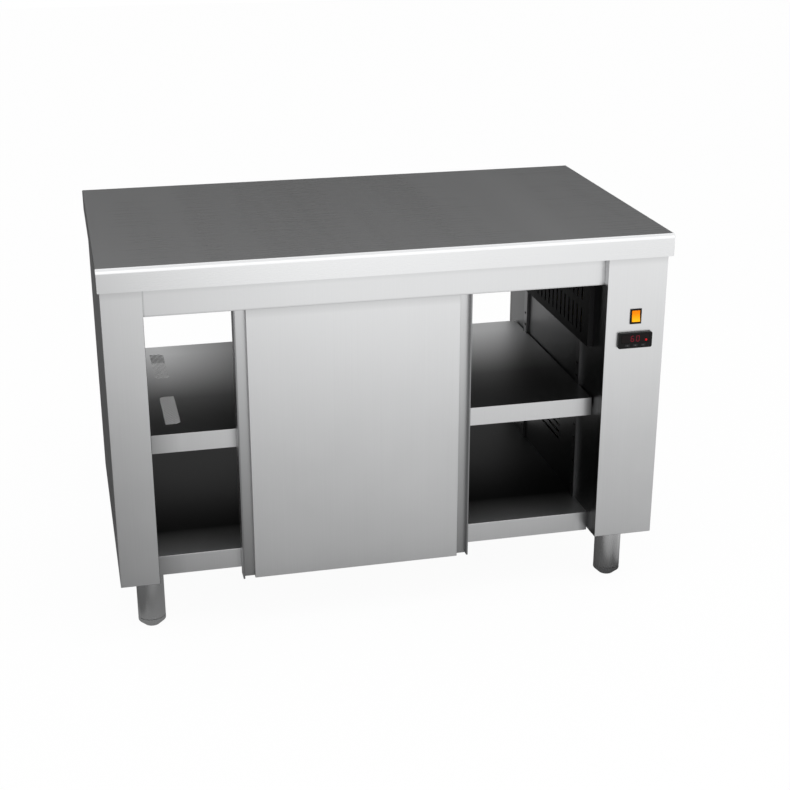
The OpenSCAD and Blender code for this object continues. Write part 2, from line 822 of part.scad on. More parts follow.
module controller_window() color(deep_red) translate([x_panel, -y_col - dial_lip, z_dial + window_up])
    block([-window_w/2, 0, -window_h/2], [window_w/2, window_t, window_h/2]);

// Key number i of the row under the window
module key(i) color(black_plastic) translate([x_panel + key_x[i], -y_col - dial_lip, z_dial - key_down])
    block([-key_w/2, -key_proud, -key_h/2], [key_w/2, key_deep, key_h/2]);

module left_key() key(0);

module middle_key() key(1);

module right_key() key(2);

module heating_element() color(dark_steel) translate([0, 0, z_fan]) {
    translate([x_ring, 0, 0]) rotate([0, 90, 0]) rotate([0, 0, ring_gap/2])
        rotate_extrude(angle = 360 - ring_gap) translate([ring_r, 0]) circle(rod_r);
    for (turn = tail_turns) rotate([turn, 0, 0]) translate([0, 0, -ring_r])
        rod_x(sleeve_r, x_ring - sleeve_r, x_box + tail_l);
}

module fan_motor() color(dark_steel) translate([0, 0, z_fan]) difference() {
    union() {
        rod_x(motor_r, x_box, x_box + motor_l);
        block([x_box, -motor_r - ear_l, -ear_w/2], [x_box + ear_t, motor_r + ear_l, ear_w/2]);
    }
    rod_x(shaft_r + run_fit, x_box - over, x_box + motor_l - over);
}

// The tray behind the control column's wall that leads the air past the wheel and the element
module air_box() color(dark_steel) {
    x0 = x_open1 + sheet;
    difference() {
        block([x0, -box_half, z_deck], [x_box, box_half, z_deck + box_h]);
        block([x0 - over, -box_half + sheet, z_deck + sheet],
            [x_box - sheet, box_half - sheet, z_deck + box_h + over]);
        translate([0, 0, z_fan]) {
            rod_x(shaft_r + ease, x_box - 2*sheet, x_box + over);
            for (turn = tail_turns) rotate([turn, 0, 0]) translate([0, 0, -ring_r])
                rod_x(sleeve_r + ease, x_box - 2*sheet, x_box + over);
        }
    }
}

module fan_wheel() color(steel) translate([0, 0, z_fan]) {
    rod_x(fan_r, x_wheel, x_wheel + blade_t);
    rod_x(hub_r, x_wheel - blade_d, x_wheel + blade_t);
    rod_x(shaft_r, x_wheel, x_box + motor_l - 2*over);
    for (i = [0:blades - 1]) rotate([i*360/blades, 0, 0])
        block([x_wheel - blade_d, -blade_t/2, blade_in], [x_wheel + blade_t/2, blade_t/2, fan_r - blade_t]);
}

// The probe lies along the wall's inner side, below the hot-air opening, in its clip
module air_probe() color(steel) translate([x_open1 + sheet, 0, z_cover]) {
    x1 = probe_r + clip_t;
    translate([x1, 0, 0]) rod_y(probe_r, -probe_l/2, probe_l/2);
    block([0, -clip_w/2, -x1], [x1, clip_w/2, x1]);
}

module safety_thermostat() color(pale_plastic) translate([0, 0, z_deck + box_h - limit_down]) {
    rod_x(limit_r, x_box, x_box + limit_h);
    block([x_box, -2*limit_r, -limit_r/2], [x_box + limit_strap, 2*limit_r, limit_r/2]);
}

module terminal_block() color(pale_plastic) {
    y0 = leg_set - pad_half - pole_gap - pole_w;
    translate([x_panel - poles*pole_l/2, y0, base_h + sheet]) difference() {
        cube([poles*pole_l, pole_w, pole_h]);
        for (i = [0:poles - 1]) translate([(i + 1/2)*pole_l, pole_w/2, pole_h - pole_deep])
            cylinder(r = pole_r, h = pole_deep + over);
    }
}

module cable_gland() color(black_plastic) translate([x_panel, 0, base_h + gland_rise]) difference() {
    union() {
        rod_y(gland_collar, y_col, y_col + gland_h);
        rod_y(gland_r, y_col - sheet - gland_h, y_col + over);
        rod_y(gland_collar, y_col - sheet - gland_nut, y_col - sheet);
    }
    rod_y(gland_bore, y_col - sheet - gland_h - over, y_col + gland_h + over);
}

module service_cover() color(steel) difference() {
    block([x_panel - service_w/2 - service_lap, y_col, service_z - service_lap],
        [x_panel + service_w/2 + service_lap, y_col + sheet, service_z + service_h + service_lap]);
    for (at = service_screws) translate([at[0], 0, at[1]])
        rod_y(screw_r + run_fit, y_col - over, y_col + sheet + over);
}

module cover_screws() color(dark_steel)
    for (at = service_screws) translate([at[0], y_col + sheet, at[1]]) difference() {
        union() {
            rod_y(screw_r, -screw_l, head_h/2);
            rod_y(head_r, 0, head_h);
        }
        for (turn = [0, 90]) rotate([0, turn, 0])
            block([-head_r/2, head_h/2, -cross_w/2], [head_r/2, head_h + over, cross_w/2]);
    }

// A door's front skin, with its left edge at x = 0 and its face at y = 0:
// a hollow face between two finger grooves, each closed by a lip
module pan() color(steel) {
    difference() {
        union() {
            block([side_w, 0, z_door0], [door_w - side_w, skin_y, z_door1]);
            for (x = [0, door_w - side_w]) block([x, groove_d, z_door0], [x + side_w, skin_y, z_door1]);
            for (x = [0, door_w - lip_w]) block([x, 0, z_door0], [x + lip_w, skin_y, z_door1]);
        }
        block([side_w + door_s, door_s, z_door0 + door_s],
            [door_w - side_w - door_s, skin_y + over, z_door1 - door_s]);
        block([lip_w, slot_y - pin_r - ease, z_door0 - over],
            [door_w - lip_w, slot_y + pin_r + ease, z_door0 + pin_h + over]);
    }
}

// A door's flat rear skin
module back() color(dark_steel) block([0, skin_y, z_door0], [door_w, door_t, z_door1]);

// The two brackets on a door's upper edge, each with its axle
module hangers() color(dark_steel) for (x = hanger_x) translate([x, 0, 0]) {
    block([-hanger_l/2, 2*door_s, z_door1], [hanger_l/2, skin_y, z_door1 + hanger_t]);
    block([-hanger_w/2, hanger_y, z_door1], [hanger_w/2, hanger_y + hanger_t, z_axle + hanger_w/2]);
    translate([0, 0, z_axle]) {
        rod_y(axle_r, roller_y - ease/2, hanger_y + hanger_t);
        rod_y(axle_r + hanger_t/2, rim_y - ease/2, hanger_y + hanger_t/2);
    }
}

// The roller on axle number i of a door
module roller(i) color(pale_plastic) translate([hanger_x[i], 0, z_axle]) difference() {
    rod_y(roller_r, roller_y, roller_y + roller_w);
    rod_y(axle_r + run_fit, roller_y - over, roller_y + roller_w + over);
}

// A door part in lane i of the front
module in_front(i) translate([x_door, lane_y(i), 0]) children();

// A door part in lane i of the rear
module in_rear(i) at_rear() in_front(i) children();

module front_outer_pan() in_front(0) pan();

module front_outer_back() in_front(0) back();

module front_outer_hangers() in_front(0) hangers();

module front_outer_roller_a() in_front(0) roller(0);

module front_outer_roller_b() in_front(0) roller(1);

module front_inner_pan() in_front(1) pan();

module front_inner_back() in_front(1) back();

module front_inner_hangers() in_front(1) hangers();

module front_inner_roller_a() in_front(1) roller(0);

module front_inner_roller_b() in_front(1) roller(1);

module rear_outer_pan() in_rear(0) pan();

module rear_outer_back() in_rear(0) back();

module rear_outer_hangers() in_rear(0) hangers();

module rear_outer_roller_a() in_rear(0) roller(0);

module rear_outer_roller_b() in_rear(0) roller(1);

module rear_inner_pan() in_rear(1) pan();

module rear_inner_back() in_rear(1) back();

module rear_inner_hangers() in_rear(1) hangers();

module rear_inner_roller_a() in_rear(1) roller(0);

module rear_inner_roller_b() in_rear(1) roller(1);

worktop();
worktop_stiffeners();
ceiling_panel();
left_casing();
left_lining();
right_casing();
right_lining();
insulation_slabs();
hot_air_cover();
deck();
deck_frame();
mid_shelf();
shelf_uprights();
shelf_clips();
front_fascia();
rear_fascia();
door_tracks();
door_guides();
legs();
switch_housing();
controller_case();
controller_window();
heating_element();
fan_motor();
air_box();
air_probe();
safety_thermostat();
terminal_block();
cable_gland();
service_cover();
cover_screws();
rocker();
left_key();
middle_key();
right_key();
fan_wheel();
foot_front_left();
foot_front_right();
foot_rear_left();
foot_rear_right();
front_outer_pan();
front_outer_back();
front_outer_hangers();
front_outer_roller_a();
front_outer_roller_b();
front_inner_pan();
front_inner_back();
front_inner_hangers();
front_inner_roller_a();
front_inner_roller_b();
rear_outer_pan();
rear_outer_back();
rear_outer_hangers();
rear_outer_roller_a();
rear_outer_roller_b();
rear_inner_pan();
rear_inner_back();
rear_inner_hangers();
rear_inner_roller_a();
rear_inner_roller_b();
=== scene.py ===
"""Dresses the packed hot cupboard: rounded folds, controls, feet and finishes, on a plain pale stage."""

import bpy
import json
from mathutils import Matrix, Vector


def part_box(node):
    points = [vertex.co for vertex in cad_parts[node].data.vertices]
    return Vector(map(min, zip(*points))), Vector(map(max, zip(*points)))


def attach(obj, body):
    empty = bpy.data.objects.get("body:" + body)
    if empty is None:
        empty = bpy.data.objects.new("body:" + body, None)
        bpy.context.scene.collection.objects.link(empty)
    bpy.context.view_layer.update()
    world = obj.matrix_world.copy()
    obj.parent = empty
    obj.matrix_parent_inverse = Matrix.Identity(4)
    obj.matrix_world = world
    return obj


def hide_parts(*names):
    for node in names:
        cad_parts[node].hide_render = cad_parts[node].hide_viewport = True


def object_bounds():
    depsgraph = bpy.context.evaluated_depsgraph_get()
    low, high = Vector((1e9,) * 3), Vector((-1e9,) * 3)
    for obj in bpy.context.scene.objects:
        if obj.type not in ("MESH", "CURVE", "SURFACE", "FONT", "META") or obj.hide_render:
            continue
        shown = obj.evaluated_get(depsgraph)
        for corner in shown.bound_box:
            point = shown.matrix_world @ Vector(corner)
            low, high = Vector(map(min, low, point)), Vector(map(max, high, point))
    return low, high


bl_info = {
    "name": "Hot cupboard",
    "version": (1, 0, 0),
    "blender": (4, 5, 0),
    "location": "View3D > Sidebar > Hot cupboard",
    "description": "Rounds the folds of a hot cupboard, models its controls and feet, and finishes it",
    "category": "Object",
}

import json
import math
from collections import namedtuple
from functools import cache

import bmesh
import bpy
from bpy.props import FloatProperty, FloatVectorProperty, IntProperty, PointerProperty, StringProperty
from mathutils import Matrix, Vector

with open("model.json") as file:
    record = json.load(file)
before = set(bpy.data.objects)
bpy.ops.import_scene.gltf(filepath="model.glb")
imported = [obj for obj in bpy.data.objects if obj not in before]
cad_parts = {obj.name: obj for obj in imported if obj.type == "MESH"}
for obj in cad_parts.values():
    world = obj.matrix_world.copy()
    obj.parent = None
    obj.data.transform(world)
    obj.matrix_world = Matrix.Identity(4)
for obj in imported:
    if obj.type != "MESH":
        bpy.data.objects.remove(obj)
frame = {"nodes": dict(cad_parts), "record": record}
CAD_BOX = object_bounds()

DOORS = ("front_outer", "front_inner", "rear_outer", "rear_inner")
FEET = ("front_left", "front_right", "rear_left", "rear_right")
KEYS = ("left_key", "middle_key", "right_key")

MM = 0.001
# Two places that are closer than this are one
MERGE = 0.01 * MM
# Faces of a CAD node that meet at less than this are one flat face
FLAT_ANGLE = math.radians(0.5)
# The faces beside a fold meet at more than this
FOLD_ANGLE = math.radians(60)
# A face looks along an axis if more than this part of its normal lies along it
FACING = 0.9
QUARTER_TURN = math.radians(90)
ROUND_SIDES = 64


# Kinds of setting

def length(name, description, size):
    """A size in metres"""
    return FloatProperty(name=name, description=description, default=size, unit="LENGTH")


def tone(name, surface, *rgb):
    """The colour of a surface"""
    return FloatVectorProperty(
        name=name, description="Colour of " + surface, default=rgb, subtype="COLOR")


def factor(name, description, value):
    """A roughness or another share from 0 to 1"""
    return FloatProperty(
        name=name, description=description, default=value, subtype="FACTOR", min=0, max=1)


def angle(name, description, degrees):
    """An angle, given in degrees"""
    return FloatProperty(
        name=name, description=description, default=math.radians(degrees), subtype="ANGLE")


# Settings that a user would change

class FoldSettings(bpy.types.PropertyGroup):
    """Radii of the folded, hemmed and moulded edges"""

    bend: length("Bend", "Outer radius of a fold in the sheet", 2.0 * MM)
    hem: length("Hem", "Radius of the hemmed lips beside the finger grooves", 1.4 * MM)
    broad: length("Broad face", "Least width of a face that a fold can border", 3.0 * MM)
    slim: length("Slim face", "Width below which a face is a hemmed lip", 6.0 * MM)
    eased: length("Eased edge", "Radius of the long edges of a flat sheet", 0.5 * MM)
    long: length("Long edge", "Length above which the edge of a flat sheet is eased", 50 * MM)
    rim: length("Rim", "Radius of the rims of the legs, the screws and the gland's nuts", 0.8 * MM)
    moulded: length("Moulded", "Radius of the controls' moulded edges", 1.2 * MM)
    key: length("Key", "Radius of the edges of the keys", 0.72 * MM)
    pocket: length("Pocket", "Radius of the edges of the controls' pockets", 0.3 * MM)
    steps: IntProperty(name="Steps", description="Facets of a rounded edge", default=4, min=1)
    crease: angle("Crease", "Angle above which an edge stays sharp", 35)


class FinishSettings(bpy.types.PropertyGroup):
    """Colours and gloss of the surfaces"""

    steel: tone("Steel", "the outer sheet", 0.76, 0.765, 0.77)
    # The rolls' tone is lighter than the steel's, as a painted highlight
    roll: tone("Rolls", "the worktop's rolled edges", 0.95, 0.95625, 0.9625)
    # The linings, undersides and uprights are dark, as painted shade of the inside
    lining: tone("Lining", "the linings and undersides", 0.125, 0.126, 0.128)
    upright: tone("Uprights", "the shelf uprights", 0.175, 0.1764, 0.1792)
    # The shelf's upper face is pale as a painted reflection of the openings; both upper faces are
    # darkened by painted shade in their materials, the deck's all but a strip along its front
    tread: tone("Tread", "the shelf's upper face", 0.95, 0.955, 0.96)
    deck: tone("Deck", "the deck's upper face", 0.95, 0.955, 0.96)
    # The grooves, the lips beside them and the shelf's slots are darker, as painted shade
    recess: tone("Recess", "the doors' finger grooves", 0.68, 0.685, 0.69)
    hem: tone("Hems", "the doors' lips and the shelf's slots", 0.30, 0.303, 0.307)
    cover: tone("Cover", "the heat-darkened hot-air cover", 0.03, 0.03, 0.0305)
    leg: tone("Legs", "the satin legs and feet", 0.86, 0.865, 0.87)
    mill: tone("Mill steel", "unseen mill-finished parts", 0.58, 0.585, 0.59)
    sheath: tone("Sheath", "the heat-dulled element", 0.30, 0.27, 0.24)
    black: tone("Black plastic", "the bezels and the gland", 0.005, 0.005, 0.005)
    key: tone("Keys", "the controller's keys", 0.02, 0.02, 0.021)
    mark: tone("Marks", "the marks on the keys", 0.12, 0.12, 0.12)
    window: tone("Window", "the controller's window", 0.006, 0.004, 0.004)
    digit: tone("Digits", "the lit digits", 0.15, 0.002, 0.012)
    lamp: tone("Lamp", "the controller's lamp", 0.36, 0.003, 0.005)
    amber: tone("Amber", "the rocker's upper half", 0.84, 0.21, 0.0)
    yellow: tone("Yellow", "the rocker's lower half", 0.96, 0.43, 0.006)
    pale: tone("Pale plastic", "the electrical parts", 0.80, 0.79, 0.72)
    nylon: tone("Nylon", "the rollers", 0.82, 0.82, 0.78)
    wool: tone("Wool", "the insulation", 0.62, 0.52, 0.26)
    paint: tone("Motor paint", "the fan motor", 0.05, 0.052, 0.055)
    satin: factor("Satin", "Roughness of the outer sheet and the linings", 0.34)
    table: factor("Table", "Roughness of the worktop", 0.275)
    tread_satin: factor("Tread satin", "Roughness of the shelf's upper face", 0.38)
    polish: factor("Polish", "Roughness of the legs and feet", 0.26)
    dull: factor("Dull", "Roughness of the deck and the mill-finished parts", 0.42)
    baked: factor("Baked", "Roughness of the hot-air cover and the element", 0.5)
    # A shadow painted below the worktop's skirt and below the fascias: the share of its tone that the
    # sheet keeps there, and how far it fades out
    joint: factor("Joint", "Share of its tone that the sheet keeps in a joint", 0.82)
    painted_shadow_reach: length("Joint reach", "Distance over which a joint's shade fades out", 20 * MM)


class ControlSettings(bpy.types.PropertyGroup):
    """Sizes of the display, the lamp and the marks on the keys"""

    reading: StringProperty(name="Reading", description="Digits that the display shows", default=" 60")
    digit_w: length("Digit width", "Width of a digit", 6.2 * MM)
    digit_h: length("Digit height", "Height of a digit", 12.0 * MM)
    digit_pitch: length("Digit pitch", "Distance from one digit to the next", 12.5 * MM)
    digit_shift: length("Digit shift", "Place of the middle digit from the window's middle", -7.0 * MM)
    bar: length("Bar", "Width of a digit's bars", 1.5 * MM)
    film: length("Film", "Thickness of the bars and marks", 0.12 * MM)
    lamp_x: length("Lamp place", "Distance of the lamp from the window's middle", 24.5 * MM)
    lamp_z: length("Lamp rise", "Height of the lamp above the window's middle", -4.0 * MM)
    lamp_r: length("Lamp radius", "Radius of the lamp", 2.6 * MM)
    mark: length("Mark", "Size of the marks on the keys", 1.3 * MM)


class FootSettings(bpy.types.PropertyGroup):
    """Turned details of the feet"""

    pitch: length("Thread pitch", "Distance from one thread ridge to the next", 2.0 * MM)
    depth: length("Thread depth", "Depth of the thread", 0.9 * MM)
    chamfer: length("Chamfer", "Chamfer of a foot's edges", 1.0 * MM)
    ease: length("Eased rim", "Easing of the edge above a foot's taper", 0.3 * MM)


class StageSettings(bpy.types.PropertyGroup):
    """Camera, light and floor"""

    eye: FloatVectorProperty(
        name="Eye", description="Place of the camera",
        default=(-0.6585, -3.1366, 1.6346), subtype="TRANSLATION")
    tilt: angle("Tilt", "Tilt of the camera from straight down", 68.91)
    turn: angle("Turn", "Turn of the camera about the vertical", -13.188)
    lens: FloatProperty(name="Lens", description="Focal length in millimetres", default=66.95)
    floor_size: length("Floor", "Side of the floor", 24.0)
    softbox_at: FloatVectorProperty(
        name="Softbox place", description="Place of the softbox above the front",
        default=(0.3, -1.1, 2.7), subtype="TRANSLATION")
    softbox_tilt: angle("Softbox tilt", "Tilt of the softbox towards the front", 18)
    softbox_power: FloatProperty(
        name="Softbox power", description="Power of the softbox", default=30.0, unit="POWER")
    softbox_w: length("Softbox width", "Width of the softbox", 2.6)
    softbox_d: length("Softbox depth", "Depth of the softbox", 1.4)


# Settings in use

def folds():
    return bpy.context.scene.cupboard_folds


def looks():
    return bpy.context.scene.cupboard_finish


def controls():
    return bpy.context.scene.cupboard_controls


def turning():
    return bpy.context.scene.cupboard_feet


def staging():
    return bpy.context.scene.cupboard_stage


# Modelling by hand

def object_mode():
    if bpy.context.mode != "OBJECT":
        bpy.ops.object.mode_set(mode="OBJECT")


def clear_selection():
    object_mode()
    bpy.ops.object.select_all(action="DESELECT")


def activate(piece):
    """Selects one piece alone"""
    clear_selection()
    piece.select_set(True)
    bpy.context.view_layer.objects.active = piece


def settle(piece):
    """Moves the object's place and turn into its mesh"""
    activate(piece)
    bpy.ops.object.transform_apply(location=True, rotation=True, scale=True)


def place(piece, location, rotation=(0, 0, 0)):
    """Turns a piece and moves it to its place"""
    piece.rotation_euler = rotation
    piece.location = location
    settle(piece)


def named(piece, name):
    piece.name = name
    piece.data.name = name
    return piece


def edit_all(piece):
    """Opens a piece in edit mode with all of it selected"""
    activate(piece)
    bpy.ops.object.mode_set(mode="EDIT")
    bpy.ops.mesh.select_all(action="SELECT")


def select_points(piece, wanted):
    """Selects in edit mode the points that pass a test on their place"""
    edit_all(piece)
    bpy.ops.mesh.select_mode(type="VERT")
    bpy.ops.mesh.select_all(action="DESELECT")
    shape = bmesh.from_edit_mesh(piece.data)
    for point in shape.verts:
        point.select_set(wanted(point.co))
    shape.select_flush(True)
    bmesh.update_edit_mesh(piece.data)


def tidy_shell(piece):
    """Merges doubles and turns all faces outwards"""
    edit_all(piece)
    bpy.ops.mesh.remove_doubles(threshold=MERGE)
    bpy.ops.mesh.normals_make_consistent(inside=False)
    object_mode()


def smooth(piece):
    """Shades a piece smooth, apart from its sharp edges"""
    activate(piece)
    bpy.ops.object.shade_smooth_by_angle(angle=folds().crease)


def copy_node(node, name):
    """A merged copy of a CAD node, with its flat faces whole again"""
    piece = bpy.data.objects.new(name, frame["nodes"][node].data.copy())
    bpy.context.scene.collection.objects.link(piece)
    piece.data.name = name
    edit_all(piece)
    bpy.ops.mesh.remove_doubles(threshold=MERGE)
    bpy.ops.mesh.dissolve_limited(angle_limit=FLAT_ANGLE)
    object_mode()
    return piece


def middle_of(node):
    """The middle of a CAD node's box"""
    low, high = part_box(node)
    return (low + high) / 2


def front_of(node):
    """The middle of a CAD node's front face"""
    middle = middle_of(node)
    return Vector((middle.x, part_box(node)[0].y, middle.z))


def points_of(node):
    """The places of a CAD node's points"""
    return [point.co for point in frame["nodes"][node].data.vertices]


def lies_at(edge, axis, level):
    """Whether an edge lies at a level along an axis"""
    return all(abs(getattr(point.co, axis) - level) < MERGE for point in edge.verts)


def round_edges(piece, radius, share):
    """Bevels each outer edge by its share of the radius, from 0 to 1"""
    shape = bmesh.new()
    shape.from_mesh(piece.data)
    weight = shape.edges.layers.float.new("bevel_weight_edge")
    for edge in shape.edges:
        if len(edge.link_faces) == 2 and edge.is_convex:
            edge[weight] = float(share(edge))
    shape.to_mesh(piece.data)
    shape.free()
    activate(piece)
    bevel = piece.modifiers.new("Rounding", "BEVEL")
    bevel.limit_method = "WEIGHT"
    bevel.width = radius
    bevel.segments = folds().steps
    bpy.ops.object.modifier_apply(modifier=bevel.name)
    smooth(piece)
    piece.modifiers.new("Even normals", "WEIGHTED_NORMAL").keep_sharp = True
    bpy.ops.object.modifier_apply(modifier="Even normals")


def narrow_side(face):
    """Width of a long face"""
    return face.calc_area() / max(edge.calc_length() for edge in face.edges)


def fold_share(edge):
    """1 for a fold between two broad faces, less beside a slim lip, 0 for a cut edge"""
    width = min(narrow_side(face) for face in edge.link_faces)
    if width < folds().broad or edge.calc_face_angle() < FOLD_ANGLE:
        return 0
    if width < folds().slim:
        return folds().hem / folds().bend
    return 1


def put(piece, body, slot, *nodes, look=None):
    """Lets a piece ride on a body in place of CAD nodes, with its slot's finish or another look"""
    object_mode()
    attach(piece, body)
    if nodes:
        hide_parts(*nodes)
    piece.data.materials.clear()
    piece.data.materials.append(finish(look or slot))
    return piece


def paint(piece, name, wanted):
    """Gives a finish to the faces that pass a test and still have the piece's first finish"""
    piece.data.materials.append(finish(name))
    index = len(piece.data.materials) - 1
    for side in piece.data.polygons:
        if side.material_index == 0 and wanted(side):
            side.material_index = index


def rounded(node, name, body, slot, radius, share, look=None):
    """Replaces a CAD node by a copy with round edges"""
    piece = copy_node(node, name)
    round_edges(piece, radius, share)
    return put(piece, body, slot, node, look=look)


def folded(node, body, slot):
    """Replaces a sheet node by a copy whose folds are round"""
    return rounded(node, node + "_sheet", body, slot, folds().bend, fold_share)


def add_circle(name, sides, radius, **options):
    """The flat circle or polygon that a piece starts from"""
    clear_selection()
    bpy.ops.mesh.primitive_circle_add(vertices=sides, radius=radius, **options)
    piece = named(bpy.context.object, name)
    settle(piece)
    return piece


def turned(name, rings, sides=ROUND_SIDES, fill="NGON"):
    """A round piece raised along Z, ring by ring, each of a radius and a height"""
    piece = add_circle(name, sides, rings[0][0], fill_type=fill, location=(0, 0, rings[0][1]))
    edit_all(piece)
    for (radius, height), (next_radius, next_height) in zip(rings, rings[1:]):
        rise = (0, 0, next_height - height)
        bpy.ops.mesh.extrude_region_move(TRANSFORM_OT_translate={"value": rise})
        grow = next_radius / radius
        bpy.ops.transform.resize(value=(grow, grow, 1), center_override=(0, 0, next_height))
    tidy_shell(piece)
    return piece


def bored(name, rings, sides=ROUND_SIDES):
    """A round piece with an open bore, raised along Z through a closed row of rings"""
    return turned(name, rings + rings[:1], sides, fill="NOTHING")


def add_flat(name, sides, radius):
    """A flat polygon that faces the front"""
    return add_circle(name, sides, radius, fill_type="NGON", rotation=(QUARTER_TURN, 0, 0))


def thicken(piece):
    """Raises a flat shape towards the front by the thickness of the film"""
    edit_all(piece)
    bpy.ops.mesh.extrude_region_move(TRANSFORM_OT_translate={"value": (0, -controls().film, 0)})
    tidy_shell(piece)


def join(pieces, name):
    clear_selection()
    for piece in pieces:
        piece.select_set(True)
    bpy.context.view_layer.objects.active = pieces[0]
    if len(pieces) > 1:
        bpy.ops.object.join()
    return named(bpy.context.object, name)


def stamped(shape, places, name):
    """Copies of a flat shape, each moved and turned by a matrix, joined to one piece"""
    copies = []
    for i, matrix in enumerate(places):
        piece = bpy.data.objects.new(f"{name}_{i}", shape.data.copy())
        piece.data.transform(matrix)
        bpy.context.scene.collection.objects.link(piece)
        copies.append(piece)
    bpy.data.objects.remove(shape)
    return join(copies, name)


# Nodes of the materials

# A shade painted into a colour: it keeps a share of the colour at an edge, and fades out over a reach
# along an axis
Shade = namedtuple("Shade", "axis edge reach share")

# Scales of the grain along each axis, for brushing along the cupboard and upright, and for heat marks
ALONG = (3.0, 1400.0, 1400.0)
UPRIGHT = (1400.0, 1400.0, 3.0)
MOTTLED = (60.0, 60.0, 60.0)


def set_inputs(node, inputs):
    """Links a node's inputs to other nodes, or sets them to constants"""
    for socket, value in inputs.items():
        if isinstance(value, bpy.types.NodeSocket):
            node.id_data.links.new(value, node.inputs[socket])
        else:
            node.inputs[socket].default_value = value


def add_node(tree, kind, inputs=None, **settings):
    """Adds a node with its settings and inputs"""
    node = tree.nodes.new("ShaderNode" + kind)
    for key, value in settings.items():
        setattr(node, key, value)
    set_inputs(node, inputs or {})
    return node


def colour(rgb):
    return (*rgb, 1)


def grey(share):
    return (share, share, share, 1)


def new_material(name):
    """A material, its node tree and its Principled shader"""
    material = bpy.data.materials.new(name)
    material.use_nodes = True
    return material, material.node_tree, material.node_tree.nodes["Principled BSDF"]


def noise(tree, scale, detail=2.0, roughness=0.5):
    """Noise on Object coordinates, stretched by a scale for each axis"""
    spot = add_node(tree, "TexCoord").outputs["Object"]
    stretch = add_node(tree, "Mapping", {"Vector": spot, "Scale": scale})
    return add_node(tree, "TexNoise", {
        "Vector": stretch.outputs["Vector"], "Scale": 1.0, "Detail": detail,
        "Roughness": roughness}).outputs["Fac"]


def axis_value(tree, axis):
    """A point's place along an axis, in Object coordinates"""
    spot = add_node(tree, "TexCoord").outputs["Object"]
    return add_node(tree, "SeparateXYZ", {"Vector": spot}).outputs[axis]


def remapped(tree, value, start, end, low=0.0, high=1.0):
    """Maps a value from one range to another, held at its ends"""
    return add_node(tree, "MapRange", {
        "Value": value, "From Min": start, "From Max": end, "To Min": low,
        "To Max": high}).outputs["Result"]


def spread(tree, value, low, high):
    """Maps the middle of a noise's range to values from low to high"""
    return remapped(tree, value, 0.3, 0.7, low, high)


def mixed(tree, share, first, second, **settings):
    """Mixes two colours by a share"""
    return add_node(tree, "Mix", {"Factor": share, "A": first, "B": second},
                    data_type="RGBA", **settings).outputs["Result"]


def tinted(tree, value, tone, dark, light):
    """Spreads a tone of the settings between two shares of itself"""
    rgb = Vector(getattr(looks(), tone))
    return mixed(tree, value, colour(rgb * dark), colour(rgb * light))


def shaded(tree, base, shade):
    """Paints a shade into a colour, taking it down"""
    part = remapped(tree, axis_value(tree, shade.axis), shade.edge, shade.edge + shade.reach,
                    shade.share, 1.0)
    return mixed(tree, 1.0, base, part, blend_type="MULTIPLY")


def ramp(tree, value, stops):
    """Greys at their positions along a value"""
    made = add_node(tree, "ValToRGB", {"Fac": value})
    points = made.color_ramp.elements
    while len(points) < len(stops):
        points.new(1.0)
    for point, (position, share) in zip(points, stops):
        point.position = position
        point.color = grey(share)
    return made.outputs["Color"]


def bump(tree, height, strength, distance):
    """The normals of a surface that a height makes uneven"""
    return add_node(tree, "Bump", {
        "Height": height, "Strength": strength, "Distance": distance}).outputs["Normal"]


def under(node):
    """The shadow painted below a node's lower edge"""
    return Shade("Z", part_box(node)[0].z, -looks().painted_shadow_reach, looks().joint)


def shades(name):
    """The shades painted into a steel's colour, if it has any"""
    fascia_low, fascia_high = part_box("front_fascia")
    shelf_low, shelf_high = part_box("mid_shelf")
    door_low, door_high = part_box("front_outer_pan")
    return {
        # Painted shadow below the worktop's skirt
        "panel_steel": [under("worktop")],
        # Painted shadow below the worktop, a painted dark line along the lower edge, and painted shade
        # at both ends beside the columns
        "fascia_steel": [
            under("worktop"), Shade("Z", fascia_low.z, 4 * MM, 0.75),
            Shade("X", fascia_low.x, 5 * MM, 0.6), Shade("X", fascia_high.x, -2 * MM, 0.9)],
        # Painted shade at the shelf lip's ends, towards the columns
        "lip_steel": [
            Shade("X", shelf_low.x, 60 * MM, 0.68), Shade("X", shelf_high.x, -18 * MM, 0.35)],
        # Painted shade: dark with the linings below the fascias, and bright beside the fascias
        "return_steel": [Shade("Z", fascia_low.z, 6 * MM, 0.12)],
        # Painted shadow below the fascias
        "door_steel": [under("front_fascia")],
        # Painted shade: dark at the front, and behind the doors: the second goes down from the left end
        # inwards,
        #  and the third takes that back towards the right end
        "tread_steel": [
            Shade("Y", -0.08, 0.30, 0.30), Shade("X", -0.27, -0.18, 0.42),
            Shade("X", 0.10, -0.20, 2.15)],
        # Painted shade: dark, but for a strip along the front
        "deck_steel": [Shade("Y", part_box("deck")[0].y + 120 * MM, -120 * MM, 0.07)],
        # Painted shade in the finger grooves, darker towards their bottom
        "recess_steel": [Shade("Z", door_low.z, door_high.z - door_low.z, 0.55)],
    }.get(name, [])


